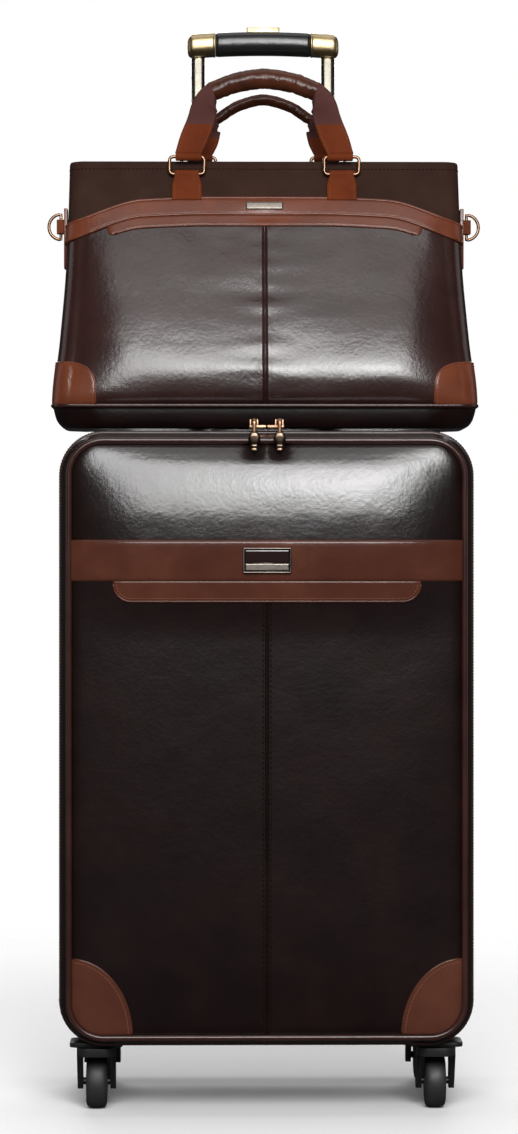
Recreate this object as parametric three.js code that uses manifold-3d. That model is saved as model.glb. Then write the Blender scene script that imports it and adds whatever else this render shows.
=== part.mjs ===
// Cabin-size rolling case with four swivel wheels, a two-stage pull handle and a zipped front lid,
// and the matching briefcase that stands on it with its sleeve round the handle tubes.
// Millimetres. +Z is up and -Y is the front. The wheels stand on Z = 0, and the origin is on the floor
// below the middle of the whole object.
import * as THREE from "three";
import { mergeVertices } from "three/addons/utils/BufferGeometryUtils.js";
import Module from "manifold-3d";

const wasm = await Module();
wasm.setup();

// ---------------------------------------------------------------- driving dimensions
const GAP = 0.3; // between pieces that touch

// The case: a tub open to the front, closed by a shallow lid.
const CASE_HALF_WIDTH = 171;
const CASE_BOTTOM = 58;
const CASE_TOP = 566;
const CASE_BACK = 115;
const CASE_CORNER = 36;
const WALL = 3;
const ZIP_Y = -92; // the zip runs round the case in this plane
const LID_FRONT = -110;
const LID_INSET = 6; // the lid narrows by this towards its front edge
const PANEL_FRONT = -115;
const PIPING = 5;

// The pull handle: an outer tube in the case, then two stages, each drawn as it stands when pulled out.
const TUBE_X = 57.5;
const TUBE_Y = 100;
const STAGE_TRAVEL = 165;
const STAGE_OVERLAP = 75; // how much of a stage stays inside the one below it
const BEZEL_TOP = CASE_TOP + 4.3;
const LOWER_TOP = BEZEL_TOP + STAGE_TRAVEL + 0.7;
const GRIP_BOTTOM = LOWER_TOP + STAGE_TRAVEL + 2;
const OUTER_TUBE = { width: 18.4, depth: 14.4, wall: 1.2, low: CASE_BOTTOM + 8, high: CASE_TOP - 0.1 };
const LOWER_TUBE = { width: 15.4, depth: 11.4, wall: 1.2, low: CASE_TOP - STAGE_OVERLAP, high: LOWER_TOP };
const UPPER_TUBE = { width: 12.4, depth: 8.4, low: LOWER_TOP - STAGE_OVERLAP, high: GRIP_BOTTOM - GAP };
const GRIP = { top: GRIP_BOTTOM + 23, depth: 24, halfLength: 42, capEnd: 67, rise: 3 };
const BUTTON = { width: 29, depth: 12, proud: 3, height: 7.5, play: 0.5 };

// The casters.
const CASTER_X = 142;
const CASTER_Y = 75;
const WHEEL_RADIUS = 22.5;
const WHEEL_WIDTH = 17;
const TRAIL = 14; // from the swivel axis back to the axle
const FORK_WIDTH = 32;
const FORK_ARM = 4.5;
const CROWN_LOW = 46.5;
const CROWN_HIGH = 53.6;
const AXLE_RADIUS = 3;
const STEM_RADIUS = 5;

// The briefcase, with heights above its own base.
const BAG_BASE = CASE_TOP + 6;
const BAG_SEAM = 20; // the piped seam between the base and the front
const BAG_TOP = 234;
const BAG_BACK = 76;
const BAG_WALL = 3.5;
const BAG_LEAN = 52; // how much further back the front wall is at the top than at the seam
const BAG_SEAM_FRONT = -20; // the front wall's outer face at the seam
const BAND_HEIGHT = 16;
const BAND_TOP = 201;
const RING = { innerWidth: 27, innerHeight: 12, wire: 3 };
const STRAP_WIDTH = 25;
const STRAP_THICK = 4;
const LOOP_OUTER = 4.2;
const LOOP_BORE = 2.4;
const FRONT_HANDLE = { x: 67, hinge: 222, gripHalf: 47, gripRadius: 8.5, top: 305 };
const REAR_HANDLE = { x: 57, hinge: 228, gripHalf: 40, gripRadius: 5, top: 293 };
const D_RING = { z: 178.5, height: 25, reach: 12, wire: 3 };

// The zip sliders.
const SLIDER = { length: 14, width: 9, height: 3.2, low: CASE_TOP + 2.8 };
const PULL = { width: 10, thick: 2, drop: CASE_TOP - 18.5, eye: CASE_TOP + 8.8, pivotY: -95 };

// ---------------------------------------------------------------- geometry helpers
const TAU = Math.PI * 2;
const vec = (x, y, z) => new THREE.Vector3(x, y, z);
const mix = THREE.MathUtils.lerp;
const smooth = THREE.MathUtils.smoothstep;

// A closed geometry as a manifold-3d solid, facing out whichever way its rings ran.
function solid(geometry) {
  const bare = geometry.index ? geometry.toNonIndexed() : geometry.clone();
  bare.deleteAttribute("normal");
  bare.deleteAttribute("uv");
  const merged = mergeVertices(bare, 1e-3);
  const make = (triVerts) =>
    new wasm.Manifold(
      new wasm.Mesh({ numProp: 3, vertProperties: merged.attributes.position.array, triVerts }),
    );
  const indices = new Uint32Array(merged.index.array);
  const made = make(indices);
  return made.volume() > 0 ? made : make(indices.slice().reverse());
}

function geometryOf(manifold) {
  const mesh = manifold.getMesh();
  const positions = new Float32Array(mesh.numVert * 3);
  for (let i = 0; i < mesh.numVert; i++)
    positions.set(mesh.vertProperties.subarray(i * mesh.numProp, i * mesh.numProp + 3), i * 3);
  const geometry = new THREE.BufferGeometry();
  geometry.setAttribute("position", new THREE.BufferAttribute(positions, 3));
  geometry.setIndex(new THREE.BufferAttribute(mesh.triVerts, 1));
  geometry.computeVertexNormals();
  return geometry;
}

const cut = (body, ...tools) =>
  geometryOf(tools.reduce((left, tool) => left.subtract(solid(tool)), solid(body)));
const join = (...bodies) =>
  geometryOf(bodies.slice(1).reduce((whole, body) => whole.add(solid(body)), solid(bodies[0])));
// The same piece for the left side (-1), mirrored from the one for the right side (1).
const forSide = (geometry, side) => (side > 0 ? geometry : geometryOf(solid(geometry.scale(-1, 1, 1))));

// A surface from vertices and triangles.
function surface(points, index) {
  const geometry = new THREE.BufferGeometry();
  geometry.setAttribute(
    "position",
    new THREE.Float32BufferAttribute(points.flatMap((p) => [p.x, p.y, p.z]), 3),
  );
  geometry.setIndex(index);
  return geometry;
}

// A solid through convex rings that all have the same number of points.
function loft(rings) {
  const count = rings[0].length;
  const last = (rings.length - 1) * count;
  const index = [];
  for (let ring = 0; ring < rings.length - 1; ring++)
    for (let i = 0; i < count; i++) {
      const a = ring * count + i;
      const b = ring * count + ((i + 1) % count);
      index.push(a, b, b + count, a, b + count, a + count);
    }
  for (let i = 1; i < count - 1; i++) index.push(0, i + 1, i, last, last + i, last + i + 1);
  return geometryOf(solid(surface(rings.flat(), index)));
}

// A solid between two grids of points, front(u, v) and back(u, v), with u and v from 0 to 1.
function sheet(columns, rows, front, back) {
  const points = [];
  for (const face of [front, back])
    for (let j = 0; j <= rows; j++)
      for (let i = 0; i <= columns; i++) points.push(face(i / columns, j / rows));
  const half = (columns + 1) * (rows + 1);
  const at = (i, j, side) => side * half + j * (columns + 1) + i;
  const index = [];
  const quad = (a, b, c, d) => index.push(a, b, c, a, c, d);
  for (let j = 0; j < rows; j++)
    for (let i = 0; i < columns; i++) {
      quad(at(i, j, 0), at(i + 1, j, 0), at(i + 1, j + 1, 0), at(i, j + 1, 0));
      quad(at(i, j, 1), at(i, j + 1, 1), at(i + 1, j + 1, 1), at(i + 1, j, 1));
    }
  for (let i = 0; i < columns; i++) {
    quad(at(i, 0, 0), at(i, 0, 1), at(i + 1, 0, 1), at(i + 1, 0, 0));
    quad(at(i, rows, 0), at(i + 1, rows, 0), at(i + 1, rows, 1), at(i, rows, 1));
  }
  for (let j = 0; j < rows; j++) {
    quad(at(0, j, 0), at(0, j + 1, 0), at(0, j + 1, 1), at(0, j, 1));
    quad(at(columns, j, 0), at(columns, j, 1), at(columns, j + 1, 1), at(columns, j + 1, 0));
  }
  return geometryOf(solid(surface(points, index)));
}

// The corner points of a rounded rectangle, as pairs of numbers.
function roundedOutline(low, high, radius, steps = 5) {
  const corners = [
    [high[0] - radius, high[1] - radius, 0],
    [low[0] + radius, high[1] - radius, 1],
    [low[0] + radius, low[1] + radius, 2],
    [high[0] - radius, low[1] + radius, 3],
  ];
  return corners.flatMap(([x, y, quarter]) =>
    Array.from({ length: steps + 1 }, (_, i) => {
      const angle = (quarter + i / steps) * (TAU / 4);
      return [x + radius * Math.cos(angle), y + radius * Math.sin(angle)];
    }),
  );
}

// A rounded rectangle standing in the plane y, and one lying in the plane z.
const standingRing = (halfWidth, low, high, radius, y, steps) =>
  roundedOutline([-halfWidth, low], [halfWidth, high], radius, steps).map(([x, z]) => vec(x, y, z));
const levelRing = (halfWidth, front, back, radius, z, steps) =>
  roundedOutline([-halfWidth, front], [halfWidth, back], radius, steps).map(([x, y]) => vec(x, y, z));

const shapeOf = (outline) => new THREE.Shape(outline.map(([x, y]) => new THREE.Vector2(x, y)));
const extrude = (shape, depth) =>
  new THREE.ExtrudeGeometry(shape, { depth, bevelEnabled: false, curveSegments: 6 });

// A plate cut from an outline in X and Z, from front to back in Y.
const standingPlate = (outline, front, back) =>
  extrude(shapeOf(outline), back - front).rotateX(Math.PI / 2).translate(0, back, 0);
// A plate cut from an outline in X and Y, from low to high in Z.
const levelPlate = (outline, low, high) => extrude(shapeOf(outline), high - low).translate(0, 0, low);
// A bar with an outline in Y and Z, from left to right in X.
const crossBar = (outline, left, right) =>
  extrude(shapeOf(outline), right - left)
    .rotateZ(Math.PI / 2)
    .rotateY(Math.PI / 2)
    .translate(left, 0, 0);

const box = (low, high) =>
  new THREE.BoxGeometry(high[0] - low[0], high[1] - low[1], high[2] - low[2]).translate(
    (low[0] + high[0]) / 2,
    (low[1] + high[1]) / 2,
    (low[2] + high[2]) / 2,
  );

const circle = (y, z, radius, steps = 16) =>
  Array.from({ length: steps }, (_, i) => {
    const angle = ((i + 0.5) / steps) * TAU;
    return [y + radius * Math.cos(angle), z + radius * Math.sin(angle)];
  });

// An upright cylinder.
const post = (x, y, radius, low, high) =>
  new THREE.CylinderGeometry(radius, radius, high - low, 20)
    .rotateX(Math.PI / 2)
    .translate(x, y, (low + high) / 2);

// A band of the given section swept along points, with the section's first axis along Y.
function sweep(points, thickness, width, steps, round = false) {
  const outline = round
    ? circle(0, 0, thickness, 10)
    : roundedOutline([-thickness / 2, -width / 2], [thickness / 2, width / 2], thickness / 2.5, 2);
  return new THREE.ExtrudeGeometry(shapeOf(outline), {
    steps,
    bevelEnabled: false,
    extrudePath: new THREE.CatmullRomCurve3(points),
  });
}

// ---------------------------------------------------------------- materials
const material = (color, roughness, metalness = 0) =>
  new THREE.MeshStandardMaterial({ color, roughness, metalness });
const darkLeather = material(0x2a1815, 0.35);
const tanLeather = material(0x7a4028, 0.45);
const lining = material(0x2b2622, 0.9);
const board = material(0x3a3029, 0.8);
const blackPlastic = material(0x0c0c0d, 0.45);
const tyreRubber = material(0x111112, 0.6);
const aluminium = material(0xd8d2c6, 0.2, 1);
const brass = material(0xb59a62, 0.25, 1);
const gripLeather = material(0x1c1b19, 0.5);

const assembly = new THREE.Group();
function add(name, geometry, look, parent = assembly) {
  const mesh = new THREE.Mesh(geometry, look);
  mesh.name = name;
  parent.add(mesh);
  return mesh;
}
const SIDES = [
  ["left", -1],
  ["right", 1],
];

// ---------------------------------------------------------------- the case
const caseOutline = (inset, y, steps) =>
  standingRing(CASE_HALF_WIDTH - inset, CASE_BOTTOM + inset, CASE_TOP - inset, CASE_CORNER - inset, y, steps);

function caseShell() {
  const outer = loft([
    caseOutline(0, ZIP_Y + GAP / 2),
    caseOutline(0, CASE_BACK - PIPING),
    caseOutline(PIPING - 1, CASE_BACK - PIPING),
    caseOutline(PIPING - 1, CASE_BACK),
  ]);
  const cavity = loft([
    caseOutline(WALL, ZIP_Y - 1),
    caseOutline(WALL, CASE_BACK - 9),
    caseOutline(WALL + PIPING, CASE_BACK - WALL),
  ]);
  const tubeHoles = SIDES.map(([, side]) =>
    box(
      [side * TUBE_X - OUTER_TUBE.width / 2 - GAP, TUBE_Y - OUTER_TUBE.depth / 2 - GAP, CASE_TOP - 10],
      [side * TUBE_X + OUTER_TUBE.width / 2 + GAP, TUBE_Y + OUTER_TUBE.depth / 2 + GAP, CASE_TOP + 10],
    ),
  );
  return cut(outer, cavity, ...tubeHoles);
}

// A block as wide and as tall as the case, less an inset all round.
const caseBlock = (inset) => loft([caseOutline(inset, ZIP_Y), caseOutline(inset, CASE_BACK)]);

// A rectangular hoop that follows the case's outline, from an outer inset to an inner one.
const hoop = (outerInset, innerInset, front, back) =>
  cut(
    loft([caseOutline(outerInset, front), caseOutline(outerInset, back)]),
    loft([caseOutline(innerInset, front - 1), caseOutline(innerInset, back + 1)]),
  );

add("case_shell", caseShell(), darkLeather);
add(
  "case_back_piping",
  hoop(-1, PIPING - 1 - GAP, CASE_BACK - PIPING + GAP, CASE_BACK - GAP),
  darkLeather,
);
add("case_zip_coil", hoop(-2.3, -GAP, ZIP_Y + GAP, ZIP_Y + 3), darkLeather);
add(
  "back_board",
  loft([caseOutline(WALL + 1, 87.5), caseOutline(WALL + 1, 90)]),
  board,
);
add(
  "tube_foot",
  box([-TUBE_X - 14, TUBE_Y - 8, CASE_BOTTOM + WALL + GAP], [TUBE_X + 14, TUBE_Y + 6, OUTER_TUBE.low - GAP]),
  blackPlastic,
);

function tube({ width, depth, wall, low, high }) {
  const outline = (inset) =>
    roundedOutline([inset - width / 2, inset - depth / 2], [width / 2 - inset, depth / 2 - inset], 2, 2);
  const outer = levelPlate(outline(0), low, high);
  return wall ? cut(outer, levelPlate(outline(wall), low - 1, high + 1)) : outer;
}
for (const [name, side] of SIDES)
  add(`outer_tube_${name}`, tube(OUTER_TUBE).translate(side * TUBE_X, TUBE_Y, 0), aluminium);

function tubeBezel() {
  const plate = levelPlate(
    roundedOutline([-TUBE_X - 20, TUBE_Y - 12], [TUBE_X + 20, TUBE_Y + 9.5], 6, 4),
    CASE_TOP + GAP,
    BEZEL_TOP,
  );
  const holes = SIDES.map(([, side]) =>
    box(
      [side * TUBE_X - LOWER_TUBE.width / 2 - GAP, TUBE_Y - LOWER_TUBE.depth / 2 - GAP, CASE_TOP - 1],
      [side * TUBE_X + LOWER_TUBE.width / 2 + GAP, TUBE_Y + LOWER_TUBE.depth / 2 + GAP, BEZEL_TOP + 1],
    ),
  );
  return cut(plate, ...holes);
}
add("tube_bezel", tubeBezel(), blackPlastic);
add(
  "carry_handle",
  join(
    levelPlate(roundedOutline([-62, 8], [62, 32], 8, 4), CASE_TOP + GAP, CASE_TOP + 5),
    levelPlate(roundedOutline([-80, 5], [-52, 35], 5, 3), CASE_TOP + GAP, CASE_TOP + 3),
    levelPlate(roundedOutline([52, 5], [80, 35], 5, 3), CASE_TOP + GAP, CASE_TOP + 3),
  ),
  darkLeather,
);

// ---------------------------------------------------------------- the lid
function lidShell() {
  const outer = loft([
    caseOutline(LID_INSET, LID_FRONT),
    caseOutline(1.5, LID_FRONT + 9),
    caseOutline(0, ZIP_Y - GAP / 2),
  ]);
  return cut(outer, loft([caseOutline(LID_INSET + WALL, LID_FRONT + WALL), caseOutline(LID_INSET + WALL, ZIP_Y + 1)]));
}
add("lid_shell", lidShell(), darkLeather);
add("lid_piping", hoop(LID_INSET - 1, LID_INSET + 4, LID_FRONT - GAP - PIPING, LID_FRONT - GAP), darkLeather);
add(
  "lid_front_panel",
  loft([
    caseOutline(LID_INSET + 4 + GAP, LID_FRONT - GAP),
    caseOutline(LID_INSET + 4 + GAP, LID_FRONT - GAP - 2),
    caseOutline(LID_INSET + 9, PANEL_FRONT),
  ]),
  darkLeather,
);

// Leather laid on the front panel, as an outline in X and Z.
const TRIM_BACK = PANEL_FRONT - GAP;
const bandHalf = CASE_HALF_WIDTH - LID_INSET - 9.5;
add("lid_band", standingPlate(roundedOutline([-bandHalf, 442.3], [bandHalf, 476.8], 1, 1), TRIM_BACK - 2, TRIM_BACK), tanLeather);

function pocketTrim() {
  const [half, top, bottom, radius] = [127, 441.8, 425.3, 15];
  const curve = (side) =>
    Array.from({ length: 5 }, (_, i) => {
      const angle = (i / 4) * (TAU / 4);
      return [side * (half - radius + radius * Math.cos(angle)), bottom + radius * (1 - Math.sin(angle))];
    });
  return standingPlate([[-half, top], ...curve(-1), ...curve(1).reverse(), [half, top]], TRIM_BACK - 1.4, TRIM_BACK);
}
add("lid_pocket_trim", pocketTrim(), tanLeather);

// A quarter-round leather patch over a lower corner of the lid.
function cornerPatch(side) {
  const [inner, outer] = [105, CASE_HALF_WIDTH - LID_INSET - 9.5];
  const [low, high, round] = [CASE_BOTTOM + LID_INSET + 9.5, 137, CASE_CORNER - LID_INSET - 9];
  const arc = (x, z, rx, rz, from, to, steps) =>
    Array.from({ length: steps + 1 }, (_, i) => {
      const angle = mix(from, to, i / steps) * (TAU / 4);
      return [side * (x + rx * Math.cos(angle)), z + rz * Math.sin(angle)];
    });
  return standingPlate(
    [
      ...arc(outer, low, inner - outer, high - low, 1, 0, 6),
      ...arc(outer - round, low + round, round, round, 3, 4, 4),
    ],
    TRIM_BACK - 1.4,
    TRIM_BACK,
  );
}
for (const [name, side] of SIDES) add(`lid_corner_${name}`, cornerPatch(side), tanLeather);

// A slider that runs on the zip along the top, with lugs and a pin for its pull.
function zipSlider(side) {
  const { length, width, height, low } = SLIDER;
  const [near, far] = [side * 0.4, side * (0.4 + length)];
  const [left, right] = [Math.min(near, far), Math.max(near, far)];
  const middle = side * 10.5;
  const body = box([left, ZIP_Y - width / 2 - 1, low], [right, ZIP_Y + width / 2 - 1, low + height]);
  const lugs = [-1, 1].map((end) => {
    const x = middle + end * 2.9;
    return box([x - 0.7, PULL.pivotY - 2.2, low + height - 1], [x + 0.7, PULL.pivotY + 2.2, PULL.eye + 2]);
  });
  const pin = crossBar(circle(PULL.pivotY, PULL.eye, 0.9, 10), middle - 2.9, middle + 2.9);
  return join(body, ...lugs, pin);
}

// A pull that reaches forward from the pin and hangs in front of the lid.
function zipPull(side) {
  const middle = side * 10.5;
  const { width, thick, drop, eye, pivotY } = PULL;
  const face = PANEL_FRONT - 2;
  const arm = box([middle - 1.6, face - thick, eye - 1.3], [middle + 1.6, pivotY - 1.4, eye + 1.3]);
  const eyelet = crossBar(circle(pivotY, eye, 2.4, 12), middle - 1.6, middle + 1.6);
  const bore = crossBar(circle(pivotY, eye, 1.35, 12), middle - 3, middle + 3);
  const tab = standingPlate(
    roundedOutline([middle - width / 2, drop], [middle + width / 2, eye + 1.3], 4.6, 4),
    face - thick,
    face,
  );
  const slot = standingPlate(
    roundedOutline([middle - 1.6, drop + 5], [middle + 1.6, eye - 8], 1.5, 3),
    face - thick - 1,
    face + 1,
  );
  return cut(join(arm, eyelet, tab), bore, slot);
}
for (const [name, side] of SIDES) {
  add(`zip_slider_${name}`, zipSlider(side), brass);
  add(`zip_pull_${name}`, zipPull(side), brass);
}

// ---------------------------------------------------------------- the pull handle
for (const [name, side] of SIDES) {
  add(`lower_tube_${name}`, tube(LOWER_TUBE).translate(side * TUBE_X, TUBE_Y, 0), aluminium);
  add(`upper_tube_${name}`, tube(UPPER_TUBE).translate(side * TUBE_X, TUBE_Y, 0), aluminium);
}

// The grip's rounded section in Y and Z at x, which rises towards the middle.
function gripRing(x, shrink = 0) {
  const lift = GRIP.rise * (1 - (x / GRIP.capEnd) ** 2);
  return roundedOutline(
    [TUBE_Y - GRIP.depth / 2 + shrink, GRIP_BOTTOM + lift + shrink],
    [TUBE_Y + GRIP.depth / 2 - shrink, GRIP.top + lift - shrink],
    9 - shrink,
    3,
  ).map(([y, z]) => vec(x, y, z));
}
function gripBar() {
  const stations = [-1, -0.66, -0.33, 0, 0.33, 0.66, 1].map((s) => s * GRIP.halfLength);
  const top = GRIP.top + GRIP.rise;
  const pocket = box(
    [-BUTTON.width / 2 - BUTTON.play, TUBE_Y - BUTTON.depth / 2 - BUTTON.play, top - 8.5],
    [BUTTON.width / 2 + BUTTON.play, TUBE_Y + BUTTON.depth / 2 + BUTTON.play, top + 5],
  );
  return cut(loft(stations.map((x) => gripRing(x))), pocket);
}
const gripCap = (side) =>
  loft([
    gripRing(side * (GRIP.halfLength + GAP)),
    gripRing(side * (GRIP.capEnd - 5)),
    gripRing(side * (GRIP.capEnd - 1.5), 1.2),
    gripRing(side * GRIP.capEnd, 4),
  ]);
add("grip", gripBar(), gripLeather);
for (const [name, side] of SIDES) add(`grip_cap_${name}`, gripCap(side), brass);
const buttonTop = GRIP.top + GRIP.rise + BUTTON.proud;
add(
  "release_button",
  box(
    [-BUTTON.width / 2, TUBE_Y - BUTTON.depth / 2, buttonTop - BUTTON.height],
    [BUTTON.width / 2, TUBE_Y + BUTTON.depth / 2, buttonTop],
  ),
  brass,
);

// ---------------------------------------------------------------- the casters
// A plate with a stem below the case, and a guard that wraps round the case's lower corner.
function casterBase(side, y) {
  const [front, back] = [-12, 24];
  const toCaster = (geometry) => geometry.translate(-side * CASTER_X, -y, 0);
  const ring = toCaster(hoop(-2, -GAP, y + front, y + back));
  const outside = box([-side * 22 - 200, front - 5, 0], [-side * 22 + 200, back + 5, CASE_BOTTOM + 36]);
  const guard = solid(ring).intersect(solid(outside.translate(side * 200, 0, 0)));
  const plate = levelPlate(roundedOutline([-22, front], [22, back], 6, 3), CROWN_HIGH + GAP, CASE_BOTTOM - GAP);
  const stem = post(0, 0, STEM_RADIUS, CROWN_LOW + GAP, CASE_BOTTOM - 1);
  const body = guard.add(solid(plate)).add(solid(stem));
  return geometryOf(body.subtract(solid(toCaster(caseBlock(-GAP)))));
}

function casterFork() {
  const crown = levelPlate(roundedOutline([-FORK_WIDTH / 2, -17], [FORK_WIDTH / 2, 20], 9, 4), CROWN_LOW, CROWN_HIGH);
  const armOutline = [
    [-9, CROWN_LOW + 1],
    [TRAIL - 7, WHEEL_RADIUS - 2],
    [TRAIL - 4, WHEEL_RADIUS - 6],
    [TRAIL + 4, WHEEL_RADIUS - 6],
    [TRAIL + 7, WHEEL_RADIUS - 2],
    [18, CROWN_LOW + 1],
  ];
  const arms = [-1, 1].map((side) => {
    const [near, far] = [side * (FORK_WIDTH / 2 - FORK_ARM), (side * FORK_WIDTH) / 2];
    return crossBar(armOutline, Math.min(near, far), Math.max(near, far));
  });
  const axle = crossBar(circle(TRAIL, WHEEL_RADIUS, AXLE_RADIUS, 12), 1 - FORK_WIDTH / 2, FORK_WIDTH / 2 - 1);
  return cut(join(crown, ...arms, axle), post(0, 0, STEM_RADIUS + 0.5, CROWN_LOW - 1, CROWN_HIGH + 1));
}

function wheel() {
  const half = WHEEL_WIDTH / 2;
  const bore = AXLE_RADIUS + 0.4;
  const profile = [
    [bore, -half],
    [WHEEL_RADIUS - 7, -half],
    [WHEEL_RADIUS - 2, -half + 1.5],
    [WHEEL_RADIUS, -half + 5],
    [WHEEL_RADIUS, half - 5],
    [WHEEL_RADIUS - 2, half - 1.5],
    [WHEEL_RADIUS - 7, half],
    [bore, half],
    [bore, -half],
  ].map(([r, y]) => new THREE.Vector2(r, y));
  return geometryOf(solid(new THREE.LatheGeometry(profile, 32)))
    .rotateZ(Math.PI / 2)
    .translate(0, TRAIL, WHEEL_RADIUS);
}

for (const [end, y] of [
  ["front", -CASTER_Y],
  ["rear", CASTER_Y],
])
  for (const [name, side] of SIDES) {
    const caster = new THREE.Group();
    caster.position.set(side * CASTER_X, y, 0);
    assembly.add(caster);
    add(`caster_base_${end}_${name}`, casterBase(side, y), blackPlastic, caster);
    add(`caster_fork_${end}_${name}`, casterFork(), blackPlastic, caster);
    add(`caster_wheel_${end}_${name}`, wheel(), tyreRubber, caster);
  }

// ---------------------------------------------------------------- the briefcase
// Half the width and the outer face of the front wall, at a height.
const BAG_WIDTHS = [
  [0, 170],
  [7, 178],
  [BAG_SEAM, 181],
  [77, 176],
  [137, 171],
  [177, 169.5],
  [BAG_TOP, 169],
];
function bagHalfWidth(z) {
  const i = Math.max(1, BAG_WIDTHS.findIndex(([level]) => level >= z));
  const [[z0, w0], [z1, w1]] = [BAG_WIDTHS[i - 1], BAG_WIDTHS[i]];
  return mix(w0, w1, (z - z0) / (z1 - z0));
}
const bagWallFront = (z) => BAG_SEAM_FRONT + (BAG_LEAN * (z - BAG_SEAM)) / (BAG_TOP - BAG_SEAM);

function bagShell() {
  const rings = (inset, shift) => [
    levelRing(170 - inset, -10 + inset, BAG_BACK - 6 - inset, 14, shift),
    levelRing(178 - inset, -17 + inset, BAG_BACK - 1 - inset, 14, 7 + shift),
    ...BAG_WIDTHS.slice(2).map(([z]) =>
      levelRing(bagHalfWidth(z) - inset, bagWallFront(z) + inset, BAG_BACK - inset, 14, z),
    ),
  ];
  const inner = rings(BAG_WALL, BAG_WALL);
  inner.push(inner[inner.length - 1].map((p) => p.clone().setZ(BAG_TOP + 2)));
  return cut(loft(rings(0, 0)), loft(inner));
}
const bag = new THREE.Group();
bag.position.z = BAG_BASE;
assembly.add(bag);
add("bag_shell", bagShell(), darkLeather, bag);

const topFront = bagWallFront(BAG_TOP - 6) + BAG_WALL + 1.2;
add(
  "bag_top_panel",
  levelPlate(
    roundedOutline([-163, topFront], [163, BAG_BACK - BAG_WALL - 0.5], 12, 4),
    BAG_TOP - 6,
    BAG_TOP - 3,
  ),
  darkLeather,
  bag,
);
const zipY = (topFront + BAG_BACK - BAG_WALL) / 2;
add(
  "bag_zip_slider",
  join(
    box([-138, zipY - 4.5, BAG_TOP - 3 + GAP], [-124, zipY + 4.5, BAG_TOP + 0.5]),
    box([-126, zipY - 3, BAG_TOP - 2], [-100, zipY + 3, BAG_TOP]),
  ),
  brass,
  bag,
);

// The height of the band's lower edge, which is level in the middle and drops at both ends.
const bandDrop = (x) => 4 * smooth(Math.abs(x), 60, 135) + 19 * smooth(Math.abs(x), 120, 176);
const bandLow = (x) => BAND_TOP - BAND_HEIGHT - bandDrop(x);
const POCKET_THICK = [
  [BAG_SEAM, 6],
  [37, 14],
  [77, 15],
  [137, 9],
  [BAND_TOP, 5],
];
function pocketThickness(z) {
  const i = Math.max(1, POCKET_THICK.findIndex(([level]) => level >= z));
  const [[z0, t0], [z1, t1]] = [POCKET_THICK[i - 1], POCKET_THICK[i]];
  return mix(t0, t1, (z - z0) / (z1 - z0));
}
// A point in front of the bag's front wall, s across from -1 to 1, at height z, out by a thickness.
function onFront(s, z, out) {
  const x = s * (bagHalfWidth(z) - 13.5);
  return vec(x, bagWallFront(z) - GAP - out, z);
}
const pocketEdge = (s) => 1 - 0.75 * s ** 6;
function frontPocket() {
  const height = (s, v) => mix(BAG_SEAM + 1, bandLow(s * 165) - GAP, v);
  return sheet(
    20,
    8,
    (u, v) => {
      const s = mix(-1, 1, u);
      const z = height(s, v);
      return onFront(s, z, pocketThickness(z) * pocketEdge(s));
    },
    (u, v) => onFront(mix(-1, 1, u), height(mix(-1, 1, u), v), 0),
  );
}
add("bag_front_pocket", frontPocket(), darkLeather, bag);

// A strip of leather along the front, between two heights above the band's lower edge.
function frontStrip(halfSpan, low, high, inner, outer) {
  const at = (s, v, out) => onFront(s, bandLow(s * 165) + mix(low, high, v), out);
  return sheet(
    20,
    1,
    (u, v) => at(mix(-halfSpan, halfSpan, u), v, outer(mix(-halfSpan, halfSpan, u))),
    (u, v) => at(mix(-halfSpan, halfSpan, u), v, inner(mix(-halfSpan, halfSpan, u))),
  );
}
add("bag_band", frontStrip(1, GAP, BAND_HEIGHT, () => 0, (s) => 2 + 6 * pocketEdge(s)), tanLeather, bag);

// The sleeve on the back, which drops over the pull handle's tubes.
add(
  "bag_sleeve",
  cut(
    box([-77, BAG_BACK + GAP, 57], [77, CASE_BACK, 177]),
    box([-74, BAG_BACK - 1, 50], [74, CASE_BACK - 2.4, 180]),
  ),
  darkLeather,
  bag,
);

// A tab that is fixed to the bag and folds round the lower bar of a ring.
function ringTab(x, y, hinge, low, wall) {
  const reach = Math.sign(wall - y);
  const faceTop = wall - reach * GAP;
  const eyelet = crossBar(circle(y, hinge, LOOP_OUTER, 12), x - 12, x + 12);
  const leaf = (z) => faceTop + (reach > 0 ? bagWallFront(z) - bagWallFront(hinge) : 0);
  const strap = crossBar(
    [
      [leaf(low) - reach * 3, low],
      [leaf(low), low],
      [leaf(hinge - 1), hinge - 1],
      [y, hinge],
      [y - reach * 1, hinge - 3],
    ],
    x - 13,
    x + 13,
  );
  const bore = crossBar(circle(y, hinge, LOOP_BORE, 12), x - 20, x + 20);
  return cut(join(eyelet, strap), bore);
}
const frontHingeY = bagWallFront(FRONT_HANDLE.hinge) - GAP - LOOP_OUTER - 0.4;
const rearHingeY = BAG_BACK + GAP + LOOP_OUTER + 0.4;
for (const [name, side] of SIDES) {
  const { x, hinge } = FRONT_HANDLE;
  add(`bag_tab_front_${name}`, ringTab(side * x, frontHingeY, hinge, 203, bagWallFront(hinge)), tanLeather, bag);
  const rear = REAR_HANDLE;
  add(`bag_tab_rear_${name}`, ringTab(side * rear.x, rearHingeY, rear.hinge, 199, BAG_BACK), tanLeather, bag);
}

// A rectangular ring whose lower bar is on the tab's hinge.
function strapRing(x, y, hinge) {
  const { innerWidth, innerHeight, wire } = RING;
  const [half, low, high] = [innerWidth / 2, hinge + wire / 2, hinge + wire / 2 + innerHeight];
  return cut(
    standingPlate(roundedOutline([x - half - wire, low - wire], [x + half + wire, high + wire], 2, 2), y - wire / 2, y + wire / 2),
    box([x - half, y - 5, low], [x + half, y + 5, high]),
  );
}

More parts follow.
